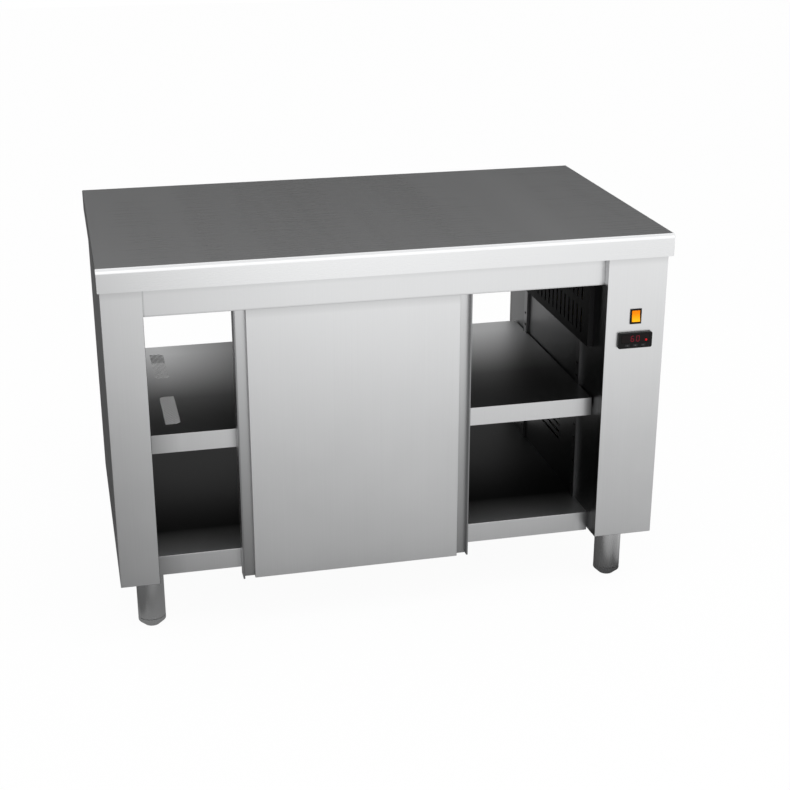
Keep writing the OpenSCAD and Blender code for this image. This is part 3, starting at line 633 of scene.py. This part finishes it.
def brushed(name):
    """Satin steel: fine grain along one axis, over broad and faint smudges, darker where shade is
    painted into it
    """
    kind = STEELS[name]
    wear, roughness = kind.wear, getattr(looks(), kind.gloss)
    material, tree, shader = new_material(name)
    lines = noise(tree, kind.grain, detail=3.0, roughness=0.6)
    smudges = noise(tree, kind.smudges, detail=3.0, roughness=0.55)
    both = add_node(tree, "Mix", {"Factor": 0.5, "A": lines, "B": smudges},
                    data_type="FLOAT").outputs["Result"]
    base = tinted(tree, spread(tree, both, 0.0, 1.0), kind.tone,
                  dark=1 - 0.04 * wear, light=1 + 0.03 * wear)
    for shade in shades(name):
        base = shaded(tree, base, shade)
    set_inputs(shader, {
        "Metallic": 1.0, "Base Color": base, "Specular Tint": grey(kind.tint),
        "Roughness": spread(tree, both, roughness - 0.03 * wear, roughness + 0.04 * wear),
        "Normal": bump(tree, lines, strength=0.06 * wear, distance=0.05 * MM)})
    return material


def moulded(name):
    """Moulded plastic or paint with a fine spark-eroded grain"""
    kind = PLASTICS[name]
    material, tree, shader = new_material(name)
    speck = noise(tree, (kind.grain, kind.grain, kind.grain))
    set_inputs(shader, {
        "Specular IOR Level": 0.15,
        "Base Color": tinted(tree, spread(tree, speck, 0.0, 1.0), kind.tone, dark=0.9, light=1.1),
        "Roughness": spread(tree, speck, kind.roughness - 0.04, kind.roughness + 0.05),
        "Normal": bump(tree, speck, strength=0.12, distance=0.05 * MM)})
    return material


def glowing(name):
    """A lit part: its own colour, given off evenly with a little grain"""
    tone, strength = GLOWS[name]
    material, tree, shader = new_material(name)
    glow = tinted(tree, noise(tree, (600.0, 600.0, 600.0)), tone, dark=0.85, light=1.1)
    set_inputs(shader, {
        "Base Color": glow, "Emission Color": glow, "Emission Strength": strength,
        "Roughness": 0.3, "Specular IOR Level": 0.15})
    return material


def acrylic(name):
    """The dark tinted window, with faint scuffs in its gloss"""
    material, tree, shader = new_material(name)
    scuffs = noise(tree, (160.0, 160.0, 40.0), detail=4.0)
    set_inputs(shader, {
        "Base Color": tinted(tree, scuffs, "window", dark=0.8, light=1.2),
        "Roughness": spread(tree, scuffs, 0.08, 0.2), "IOR": 1.49, "Specular IOR Level": 0.15})
    return material


def lens(name):
    """The lit lens of the rocker, from amber above to yellow below"""
    material, tree, shader = new_material(name)
    low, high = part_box("rocker")
    yellow_end, amber_start = low.z + 4 * MM, high.z - 6 * MM
    rise = remapped(tree, axis_value(tree, "Z"), yellow_end, amber_start)
    glow = mixed(tree, rise, colour(looks().yellow), colour(looks().amber))
    set_inputs(shader, {
        "Base Color": glow, "Emission Color": glow, "Emission Strength": 0.12,
        "Roughness": 0.22, "Specular IOR Level": 0.1})
    return material


def fibrous(name):
    """Mineral wool with loose fibres"""
    material, tree, shader = new_material(name)
    fibres = noise(tree, (220.0, 220.0, 900.0), detail=6.0, roughness=0.7)
    set_inputs(shader, {
        "Base Color": tinted(tree, fibres, "wool", dark=0.55, light=1.25), "Roughness": 0.95,
        "Normal": bump(tree, fibres, strength=0.8, distance=1.5 * MM)})
    return material


# Finishes of the pieces, with their tones and gloss by their names in the settings

# Wear scales a steel's unevenness, smudges are the scales of its broad marks, and tint is its glint
Steel = namedtuple(
    "Steel", "tone gloss grain wear smudges tint",
    defaults=("steel", "satin", UPRIGHT, 1.0, (5.0, 5.0, 5.0), 1.0))
Plastic = namedtuple("Plastic", "tone roughness grain", defaults=(900.0,))
Glow = namedtuple("Glow", "tone strength")

# The rolls' steel carries a painted highlight, and the deck's tint below 1 darkens its glint as painted
# shade
STEELS = {
    "worktop_steel": Steel("steel", "table", ALONG, 0.35, smudges=(4.5, 0.4, 0.4)),
    "roll_highlight_steel": Steel("roll", "table", ALONG, 0.5),
    "panel_steel": Steel(),
    "fascia_steel": Steel(),
    "lip_steel": Steel(),
    "return_steel": Steel(),
    "door_steel": Steel(),
    "recess_steel": Steel("recess"),
    "hem_steel": Steel("hem"),
    "inner_steel": Steel("lining"),
    "upright_steel": Steel("upright"),
    "tread_steel": Steel("tread", "tread_satin", ALONG, 0.5),
    "deck_steel": Steel("deck", "dull", ALONG, tint=0.5),
    "heat_darkened": Steel("cover", "baked", UPRIGHT, 2.0, tint=0.6),
    "leg_steel": Steel("leg", "polish"),
    "hidden_steel": Steel("mill", "dull", ALONG, 1.6),
    "element_sheath": Steel("sheath", "baked", MOTTLED, 3.0),
}
PLASTICS = {
    "motor_paint": Plastic("paint", 0.38, 500.0),
    "black_plastic": Plastic("black", 0.36),
    "key_plastic": Plastic("key", 0.48),
    "key_marks": Plastic("mark", 0.5),
    "pale_plastic": Plastic("pale", 0.45),
    "nylon": Plastic("nylon", 0.35, 700.0),
}
GLOWS = {"lit_digits": Glow("digit", 0.45), "lit_lamp": Glow("lamp", 0.6)}
FINISHES = {
    **dict.fromkeys(STEELS, brushed), **dict.fromkeys(PLASTICS, moulded),
    **dict.fromkeys(GLOWS, glowing), "red_window": acrylic, "amber_plastic": lens,
    "mineral_wool": fibrous}


@cache
def finish(name):
    """The material of a finish, made the first time it is asked for"""
    return FINISHES[name](name)


# Operators, one for each group of pieces

class CUPBOARD_OT_finishes(bpy.types.Operator):
    """Gives every CAD node the finish of its slot in the record"""

    bl_idname = "cupboard.finishes"
    bl_label = "Finishes"

    def execute(self, context):
        for subpart in frame["record"]["subparts"]:
            node = frame["nodes"][subpart["node"]]
            node.data.materials.clear()
            node.data.materials.append(finish(subpart["material_slot"]))
        frame["nodes"]["hot_air_cover"].data.materials[0] = finish("heat_darkened")
        # The shelf uprights and the doors' backs take the dark inside finishes, which are painted shade
        frame["nodes"]["shelf_uprights"].data.materials[0] = finish("upright_steel")
        for door in DOORS:
            frame["nodes"][door + "_back"].data.materials[0] = finish("inner_steel")
        return {"FINISHED"}


class CUPBOARD_OT_worktop(bpy.types.Operator):
    """Rounds the folds at the worktop's ends and gives its rolls a lighter steel as a painted highlight
    """

    bl_idname = "cupboard.worktop"
    bl_label = "Worktop"

    # The least part of a roll's normal that lies along Y and Z, and the part along Z of a flat face
    ROLL = 0.1
    LEVEL = 0.99

    def execute(self, context):
        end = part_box("worktop")[1].x

        def share(edge):
            at_end = [face for face in edge.link_faces
                      if abs(abs(face.calc_center_median().x) - end) < MERGE]
            return len(at_end) == 1 and edge.calc_face_angle() > FOLD_ANGLE

        piece = rounded("worktop", "worktop_sheet", "cabinet", "worktop_steel", folds().bend, share)
        # The rolls get the lighter tone of a painted highlight
        paint(piece, "roll_highlight_steel", lambda side: (
            self.ROLL < side.normal.z < self.LEVEL and abs(side.normal.y) > self.ROLL))
        return {"FINISHED"}


class CUPBOARD_OT_body(bpy.types.Operator):
    """Rounds the folds of the columns and the shelf, and the edges of the flat sheets"""

    bl_idname = "cupboard.body"
    bl_label = "Body"

    # The least part of a normal along X and along Y on a slanting slot's wall, and inwards on a column
    SLANT = 0.5
    INWARD = 0.5

    def execute(self, context):
        for node in ("left_casing", "right_casing"):
            self.returns(folded(node, "cabinet", "panel_steel"))
        self.face(folded("mid_shelf", "cabinet", "panel_steel"), "tread_steel")
        for node in ("deck", "deck_frame"):
            self.face(self.eased(node), "deck_steel")
        for node in ("front_fascia", "rear_fascia"):
            self.eased(node, "fascia_steel")
        self.eased("service_cover")
        self.screws()
        return {"FINISHED"}

    def eased(self, node, look=None):
        """Replaces a flat sheet node by a copy with its long edges taken off"""
        return rounded(node, node + "_sheet", "cabinet", "panel_steel", folds().eased,
                       lambda edge: edge.calc_length() > folds().long, look)

    def screws(self):
        """Rounds the rims of the screw heads"""
        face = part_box("cover_screws")[1].y
        rounded("cover_screws", "cover_screw_heads", "cabinet", "hidden_steel", folds().rim,
                lambda edge: lies_at(edge, "y", face) and edge.calc_length() < folds().rim)

    def returns(self, piece):
        """Paints shade on a column's faces beside the openings: as dark as the linings below the fascias
        """
        paint(piece, "return_steel", lambda side: (
            side.normal.x * math.copysign(1, side.center.x) < -self.INWARD))

    def face(self, piece, upper):
        """Gives the lips, the upper faces, the slots and the faces turned inwards or down their
        finishes, which carry painted shade
        """
        piece.data.materials[0] = finish("lip_steel")
        paint(piece, upper, lambda side: side.normal.z > FACING)
        paint(piece, "hem_steel", lambda side: (
            min(abs(side.normal.x), abs(side.normal.y)) > self.SLANT))
        paint(piece, "inner_steel", lambda side: (
            side.normal.z < -FACING or side.normal.y * side.center.y < 0))


class CUPBOARD_OT_doors(bpy.types.Operator):
    """Rounds the folds and the hemmed lips of the four doors"""

    bl_idname = "cupboard.doors"
    bl_label = "Doors"

    # The least part of a lip's normal that looks outwards
    LIP = 0.3

    def execute(self, context):
        for door in DOORS:
            self.grooves(folded(door + "_pan", door + "_door", "door_steel"), door + "_pan")
        return {"FINISHED"}

    def grooves(self, piece, node):
        """Paints shade on the lips beside a door's finger grooves, and in the grooves"""
        low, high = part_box(node)
        middle = middle_of(node).x
        lip = (high.x - low.x) / 2 - folds().slim
        outward = math.copysign(1, low.y)
        face = max(low.y * outward, high.y * outward)

        def on_lip(side):
            offset = side.center.x - middle
            return abs(offset) > lip and (
                side.normal.y * outward > self.LIP or side.normal.x * offset < 0)

        def in_groove(side):
            depth = face - side.center.y * outward
            return side.normal.y * outward > FACING and depth > folds().broad

        paint(piece, "hem_steel", on_lip)
        paint(piece, "recess_steel", in_groove)


class CUPBOARD_OT_legs(bpy.types.Operator):
    """Rounds the legs' lower rims"""

    bl_idname = "cupboard.legs"
    bl_label = "Legs"

    def execute(self, context):
        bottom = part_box("legs")[0].z
        foot_low, foot_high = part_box("foot_rear_right")
        foot = (foot_high.x - foot_low.x) / 2
        leg = middle_of("foot_rear_right")

        def share(edge):
            point = edge.verts[0].co
            axis = Vector((math.copysign(leg.x, point.x), math.copysign(leg.y, point.y)))
            return lies_at(edge, "z", bottom) and (point.xy - axis).length > foot - MM

        rounded("legs", "leg_tubes", "cabinet", "leg_steel", folds().rim, share)
        return {"FINISHED"}


class CUPBOARD_OT_feet(bpy.types.Operator):
    """Turns the four adjustable feet, with chamfers, eased rims and a threaded stem"""

    bl_idname = "cupboard.feet"
    bl_label = "Feet"

    # Where a thread's ridge ends and its root begins and ends, as shares of the pitch
    RIDGE_END = 0.2
    ROOT_START = 0.5
    ROOT_END = 0.7

    def execute(self, context):
        for corner in FEET:
            node = "foot_" + corner
            low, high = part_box(node)
            middle = middle_of(node)
            rings = self.rings(node, high.z - low.z, (high.x - low.x) / 2)
            piece = turned(node + "_turned", rings)
            place(piece, (middle.x, middle.y, low.z))
            smooth(piece)
            put(piece, node, "leg_steel", node)
        return {"FINISHED"}

    def rings(self, node, height, rim):
        """Radius and height of each ring, from the underside to the stem's tip"""
        points = points_of(node)
        centre = Vector([sum(part) for part in zip(*points)]) / len(points)
        reach = [((point - centre).xy.length, point.z) for point in points]
        sole = max(r for r, z in reach if z < MERGE)
        taper = min(z for r, z in reach if r > rim - MERGE)
        top = max(z for r, z in reach if r > rim - MERGE)
        stem = max(r for r, z in reach if z > height - MERGE)
        root = stem - turning().depth
        cut, ease, pitch = turning().chamfer, turning().ease, turning().pitch
        rings = [
            (sole - cut, 0), (sole, cut), (rim - ease, taper - ease), (rim, taper + ease),
            (rim, top), (stem, top)]
        for i in range(int((height - top - cut) / pitch)):
            z = top + i * pitch
            rings += [
                (stem, z + self.RIDGE_END * pitch), (root, z + self.ROOT_START * pitch),
                (root, z + self.ROOT_END * pitch), (stem, z + pitch)]
        return rings + [(stem, height - cut), (root, height)]


class CUPBOARD_OT_gland(bpy.types.Operator):
    """Turns the cable gland: a domed cap between hexagonal nuts, its bore open"""

    bl_idname = "cupboard.gland"
    bl_label = "Cable gland"

    # Radius as a share of the collar's, and height as a share of the cap's rise, up the dome
    DOME = ((0.88, 0.0), (0.86, 0.4), (0.76, 0.8), (0.62, 1.0))
    # Radius of the flared mouth as a share of the bore's, and its depth as a share of the rise
    MOUTH_R = 1.12
    MOUTH_DEPTH = 0.2
    NUT_SIDES = 6
    # The edges of a nut that are eased meet at more than this
    NUT_ANGLE = math.radians(30)

    def execute(self, context):
        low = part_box("cable_gland")[0]
        middle = middle_of("cable_gland")
        reach = [((point - middle).xz.length, point.y) for point in points_of("cable_gland")]
        bore, collar = min(r for r, y in reach), max(r for r, y in reach)
        thread = max(r for r, y in reach if y < low.y + MERGE)
        faces = sorted({round(y, 5) for r, y in reach if r > collar - MERGE})
        seat, tip = faces[-2], faces[-1]
        half = (seat + tip) / 2
        rise = tip - half
        dome = [(share * collar, half + height * rise) for share, height in self.DOME]
        pieces = [bored("cable_gland_cap", [
            (bore, low.y), (thread, low.y), (thread, half), *dome,
            (self.MOUTH_R * bore, tip), (bore, tip - self.MOUTH_DEPTH * rise)])]
        for start, end in ((faces[0], faces[1]), (seat, half)):
            rings = [(thread, start), (collar, start), (collar, end), (thread, end)]
            nut = bored("gland_nut", rings, self.NUT_SIDES)
            round_edges(nut, folds().rim / 2, lambda edge: edge.calc_face_angle() > self.NUT_ANGLE)
            pieces.append(nut)
        piece = join(pieces, "cable_gland_turned")
        place(piece, (middle.x, 0, middle.z), rotation=(-QUARTER_TURN, 0, 0))
        smooth(piece)
        put(piece, "cabinet", "black_plastic", "cable_gland")
        return {"FINISHED"}


class CUPBOARD_OT_switch(bpy.types.Operator):
    """Rounds the switch's bezel and its lit rocker"""

    bl_idname = "cupboard.switch"
    bl_label = "Switch"

    # The rocker's eased edges meet at more than this, and lie no deeper behind the bezel's face
    LENS_ANGLE = math.radians(45)
    LENS_DEPTH = 3 * MM

    def execute(self, context):
        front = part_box("switch_housing")[0].y
        rounded("switch_housing", "switch_bezel", "cabinet", "black_plastic", folds().moulded / 2,
                lambda edge: lies_at(edge, "y", front))
        rounded("rocker", "rocker_lens", "rocker", "amber_plastic", folds().moulded / 2,
                lambda edge: (edge.calc_face_angle() > self.LENS_ANGLE
                              and edge.verts[0].co.y < front + self.LENS_DEPTH))
        return {"FINISHED"}


class CUPBOARD_OT_controller(bpy.types.Operator):
    """Models the controller: rounded case, window, digits, lamp and marked keys"""

    bl_idname = "cupboard.controller"
    bl_label = "Controller"

    # The bars that are lit for each digit: a at the top, on clockwise to f, and g in the middle
    LIT = {
        " ": "", "0": "abcdef", "1": "bc", "2": "abged", "3": "abgcd", "4": "fgbc", "5": "afgcd",
        "6": "afgedc", "7": "abc", "8": "abcdefg", "9": "abcdfg"}
    BAR_SIDES = 6
    # Distance of a bar's point from the digit's corner, as a share of the bar's width
    BAR_GAP = 0.65
    # Radius and height of the rings of the lamp's dome, as shares of the lamp's radius
    DOME = ((1, 0), (1, 0.1), (0.94, 0.25), (0.78, 0.4), (0.5, 0.5), (0.2, 0.54))
    LAMP_SIDES = 32
    # Sides of the keys' marks, for down, set and up, and their turns in degrees
    MARKS = ((3, 180), (4, 45), (3, 0))
    # Least distance of a pocket's edge from the case's upper and lower edges
    POCKET_IN = 2 * MM

    def execute(self, context):
        self.case()
        self.window()
        self.lamp()
        self.keys()
        return {"FINISHED"}

    def case(self):
        """The case, with a rounded rim and finely eased pockets"""
        low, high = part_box("controller_case")
        window_low, window_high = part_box("controller_window")
        pocket = (window_high.x - window_low.x) / 2 + MM

        def share(edge):
            if not lies_at(edge, "y", low.y):
                return 0
            spot = (edge.verts[0].co + edge.verts[1].co) / 2
            inside_x = abs(spot.x - middle_of("controller_case").x) < pocket
            inside_z = low.z + self.POCKET_IN < spot.z < high.z - self.POCKET_IN
            return folds().pocket / folds().moulded if inside_x and inside_z else 1

        rounded("controller_case", "controller_bezel", "cabinet", "black_plastic",
                folds().moulded, share)

    def window(self):
        """The window, with the lit bars of its digits"""
        front = front_of("controller_window")
        rounded("controller_window", "controller_pane", "cabinet", "red_window", folds().pocket,
                lambda edge: edge.verts[0].co.y < front.y + MERGE)
        spots = self.bar_places()
        places = []
        for i, digit in enumerate(controls().reading):
            shift = controls().digit_shift + (i - 1) * controls().digit_pitch
            centre = Matrix.Translation(front + Vector((shift, 0, 0)))
            places += [centre @ spots[bar] for bar in self.LIT[digit]]
        digits = stamped(self.bar(), places, "display_digits")
        put(digits, "cabinet", "red_window", look="lit_digits")

    def bar(self):
        """One pointed bar of a digit, lying along X and facing the front"""
        width = controls().bar
        piece = add_flat("digit_bar", self.BAR_SIDES, width / 2)
        half = controls().digit_w / 2 - width * self.BAR_GAP
        for side in (-1, 1):
            select_points(piece, lambda spot: spot.x * side > MERGE)
            bpy.ops.transform.translate(value=(side * half, 0, 0))
        thicken(piece)
        return piece

    def bar_places(self):
        """Where each bar of a digit lies, from the digit's middle"""
        w, h = controls().digit_w / 2, controls().digit_h / 2
        upright = Matrix.Rotation(QUARTER_TURN, 4, "Y")
        flat = Matrix.Identity(4)
        spots = {
            "a": (0, h, flat), "b": (w, h / 2, upright), "c": (w, -h / 2, upright),
            "d": (0, -h, flat), "e": (-w, -h / 2, upright), "f": (-w, h / 2, upright),
            "g": (0, 0, flat)}
        return {bar: Matrix.Translation((x, 0, z)) @ turn for bar, (x, z, turn) in spots.items()}

    def lamp(self):
        """A low dome on the window"""
        radius = controls().lamp_r
        rings = [(width * radius, height * radius) for width, height in self.DOME]
        piece = turned("status_lamp", rings, self.LAMP_SIDES)
        shift = Vector((controls().lamp_x, 0, controls().lamp_z))
        place(piece, front_of("controller_window") + shift, rotation=(QUARTER_TURN, 0, 0))
        smooth(piece)
        put(piece, "cabinet", "red_window", look="lit_lamp")

    def keys(self):
        """Keys with round edges, marked down, set and up"""
        for key, (sides, turn) in zip(KEYS, self.MARKS):
            front = front_of(key)
            rounded(key, key + "_cap", key, "key_plastic", folds().key,
                    lambda edge: lies_at(edge, "y", front.y))
            mark = add_flat(key + "_mark", sides, controls().mark)
            place(mark, front, rotation=(0, math.radians(turn), 0))
            thicken(mark)
            put(mark, key, "key_plastic", look="key_marks")


class CUPBOARD_OT_stage(bpy.types.Operator):
    """Sets up the camera, the pale floor, the softbox and the surroundings"""

    bl_idname = "cupboard.stage"
    bl_label = "Stage"

    SENSOR_MM = 36
    FAR_CLIP = 60

    # Painted shadow of the cupboard on the floor, seen only in reflections: greys by the distance from
    # the cupboard as a share of FAR_OFF
    FAR_OFF = 4.0
    NEAR_TO_FAR = (
        (0.0, 0.14), (0.03, 0.25), (0.06, 0.36), (0.25, 0.48), (0.55, 0.89), (0.75, 1.0))
    # Painted shade, mostly darker to the left: shares of those greys from left to right across SWEEP,
    # ahead of the cupboard and, past SWEEP_TURN
    #  along Y, behind it
    SWEEP = (-1.0, 2.0)
    SWEEP_AHEAD = (
        (0.10, 0.35), (0.135, 0.55), (0.15, 0.62), (0.20, 0.74), (0.333, 0.94), (0.467, 1.0),
        (0.667, 0.95), (0.833, 0.85))
    SWEEP_BEHIND = (
        (0.10, 0.06), (0.127, 0.17), (0.15, 0.50), (0.20, 0.80), (0.333, 0.94), (0.467, 1.0))
    SWEEP_TURN = (-0.2, 0.3)
    # Painted shade below the cupboard: greys from left to right across BELOW, and the width of their
    # edge
    BELOW = (-0.5, 0.5)
    BELOW_GREYS = (0.15, 0.05)
    BELOW_EDGE = 0.03
    # Strength of the floor in reflections, its grey in the light, and how much of it the eye sees white
    MIRRORED = 1.33
    FLOOR_GREY = 0.82
    WHITENED = 0.96

    # Greys of the room by the rise of a direction, ahead of the cupboard and, past ROOM_TURN, behind it
    ROOM_AHEAD = (
        (0.0, 1.2), (0.14, 1.12), (0.26, 0.86), (0.36, 1.0), (0.5, 1.25), (0.65, 1.25), (0.8, 1.0),
        (0.9, 0.84))
    ROOM_BEHIND = (
        (0.0, 0.02), (0.36, 0.03), (0.44, 0.32), (0.53, 0.90), (0.64, 1.15), (0.78, 1.0), (0.9, 0.84))
    ROOM_TURN = (-0.5, 0.3)

    def execute(self, context):
        scene = context.scene
        scene.view_settings.view_transform = "Standard"
        self.camera(scene)
        self.floor()
        self.softbox()
        self.surroundings(scene)
        return {"FINISHED"}

    def camera(self, scene):
        """The camera at the photograph's viewing angle"""
        clear_selection()
        bpy.ops.object.camera_add(
            location=staging().eye, rotation=(staging().tilt, 0, staging().turn))
        camera = bpy.context.object
        camera.data.lens = staging().lens
        camera.data.sensor_width = self.SENSOR_MM
        camera.data.clip_end = self.FAR_CLIP
        scene.camera = camera

    def floor(self):
        """The floor that the cupboard stands on"""
        clear_selection()
        bpy.ops.mesh.primitive_plane_add(size=staging().floor_size)
        floor = named(bpy.context.object, "floor")
        floor.data.materials.append(self.floor_finish())

    def floor_finish(self):
        """White to the eye, with the shadow; in reflections, with a painted shadow close to the cupboard
        """
        material = bpy.data.materials.new("pale_floor")
        material.use_nodes = True
        tree = material.node_tree
        tree.nodes.clear()
        path = add_node(tree, "LightPath")
        mirrored = add_node(tree, "Emission", {
            "Color": self.mirrored_floor(tree), "Strength": self.MIRRORED})
        white = add_node(tree, "Emission", {"Color": grey(1)})
        matt = add_node(tree, "BsdfDiffuse", {"Color": grey(self.FLOOR_GREY)})
        glossy = add_node(tree, "Math", {
            0: path.outputs["Is Glossy Ray"], 1: path.outputs["Is Transmission Ray"]},
            operation="MAXIMUM")
        lit = add_node(tree, "MixShader", {
            0: glossy.outputs[0], 1: matt.outputs[0], 2: mirrored.outputs[0]})
        eye = add_node(tree, "Math", {
            0: path.outputs["Is Camera Ray"], 1: self.WHITENED}, operation="MULTIPLY")
        final = add_node(tree, "MixShader", {
            0: eye.outputs[0], 1: lit.outputs[0], 2: white.outputs[0]})
        add_node(tree, "OutputMaterial", {"Surface": final.outputs[0]})
        return material

    def mirrored_floor(self, tree):
        """The floor's painted shade in reflections, by its distance from the cupboard and its side"""
        distance = self.distance(tree)
        share = add_node(tree, "Math", {0: distance, 1: self.FAR_OFF}, operation="DIVIDE")
        shade = ramp(tree, share.outputs[0], self.NEAR_TO_FAR)
        across = axis_value(tree, "X")
        sweep = remapped(tree, across, *self.SWEEP)
        side = mixed(
            tree, remapped(tree, axis_value(tree, "Y"), *self.SWEEP_TURN),
            ramp(tree, sweep, self.SWEEP_AHEAD), ramp(tree, sweep, self.SWEEP_BEHIND))
        seen = mixed(tree, 1.0, shade, side, blend_type="MULTIPLY")
        below = remapped(tree, across, *self.BELOW, *self.BELOW_GREYS)
        return mixed(tree, remapped(tree, distance, 0.0, self.BELOW_EDGE), below, seen)

    def distance(self, tree):
        """A floor point's distance from the cupboard's outline"""
        high = CAD_BOX[1]
        spot = add_node(tree, "TexCoord").outputs["Object"]
        away = add_node(tree, "VectorMath", {0: spot}, operation="ABSOLUTE").outputs[0]
        for operation, other in (("SUBTRACT", (high.x, high.y, 0)), ("MAXIMUM", (0, 0, 0))):
            away = add_node(tree, "VectorMath", {0: away, 1: other}, operation=operation).outputs[0]
        return add_node(tree, "VectorMath", {0: away}, operation="LENGTH").outputs["Value"]

    def softbox(self):
        """A soft light above the front, which no surface mirrors"""
        clear_selection()
        bpy.ops.object.light_add(
            type="AREA", location=staging().softbox_at, rotation=(staging().softbox_tilt, 0, 0))
        lamp = bpy.context.object
        lamp.data.shape = "RECTANGLE"
        lamp.data.size = staging().softbox_w
        lamp.data.size_y = staging().softbox_d
        lamp.data.energy = staging().softbox_power
        lamp.visible_glossy = False

    def surroundings(self, scene):
        """White for the eye; for the cupboard, a room that is dark behind it near the horizon"""
        world = bpy.data.worlds.new("studio")
        scene.world = world
        world.use_nodes = True
        tree = world.node_tree
        tree.nodes.clear()
        axes = add_node(tree, "SeparateXYZ", {
            "Vector": add_node(tree, "TexCoord").outputs["Generated"]})
        shade = mixed(
            tree, remapped(tree, axes.outputs["Y"], *self.ROOM_TURN),
            ramp(tree, axes.outputs["Z"], self.ROOM_AHEAD),
            ramp(tree, axes.outputs["Z"], self.ROOM_BEHIND))
        room = add_node(tree, "Background", {"Color": shade})
        white = add_node(tree, "Background", {"Color": grey(1)})
        path = add_node(tree, "LightPath")
        final = add_node(tree, "MixShader", {
            0: path.outputs["Is Camera Ray"], 1: room.outputs[0], 2: white.outputs[0]})
        add_node(tree, "OutputWorld", {"Surface": final.outputs[0]})


class CUPBOARD_PT_sidebar(bpy.types.Panel):
    """Lists the steps and the settings of the hot cupboard"""

    bl_idname = "CUPBOARD_PT_sidebar"
    bl_label = "Hot cupboard"
    bl_space_type = "VIEW_3D"
    bl_region_type = "UI"
    bl_category = "Hot cupboard"

    def draw(self, context):
        for operator in OPERATORS:
            self.layout.operator(operator.bl_idname)
        for owner, group in SETTINGS.items():
            box = self.layout.box()
            box.label(text=group.__doc__)
            for name in group.__annotations__:
                box.prop(getattr(context.scene, owner), name)


SETTINGS = {
    "cupboard_folds": FoldSettings,
    "cupboard_finish": FinishSettings,
    "cupboard_controls": ControlSettings,
    "cupboard_feet": FootSettings,
    "cupboard_stage": StageSettings,
}
OPERATORS = (
    CUPBOARD_OT_stage, CUPBOARD_OT_finishes, CUPBOARD_OT_worktop, CUPBOARD_OT_body,
    CUPBOARD_OT_doors, CUPBOARD_OT_legs, CUPBOARD_OT_feet, CUPBOARD_OT_gland, CUPBOARD_OT_switch,
    CUPBOARD_OT_controller)


def register():
    for group in (*SETTINGS.values(), *OPERATORS, CUPBOARD_PT_sidebar):
        bpy.utils.register_class(group)
    for owner, group in SETTINGS.items():
        setattr(bpy.types.Scene, owner, PointerProperty(type=group))


def unregister():
    for owner in SETTINGS:
        delattr(bpy.types.Scene, owner)
    for group in (CUPBOARD_PT_sidebar, *reversed(OPERATORS), *reversed(SETTINGS.values())):
        bpy.utils.unregister_class(group)


def main():
    """Builds the stage and every piece in order"""
    register()
    bpy.ops.cupboard.stage()
    bpy.ops.cupboard.finishes()
    bpy.ops.cupboard.worktop()
    bpy.ops.cupboard.body()
    bpy.ops.cupboard.doors()
    bpy.ops.cupboard.legs()
    bpy.ops.cupboard.feet()
    bpy.ops.cupboard.gland()
    bpy.ops.cupboard.switch()
    bpy.ops.cupboard.controller()


if __name__ == "__main__":
    main()
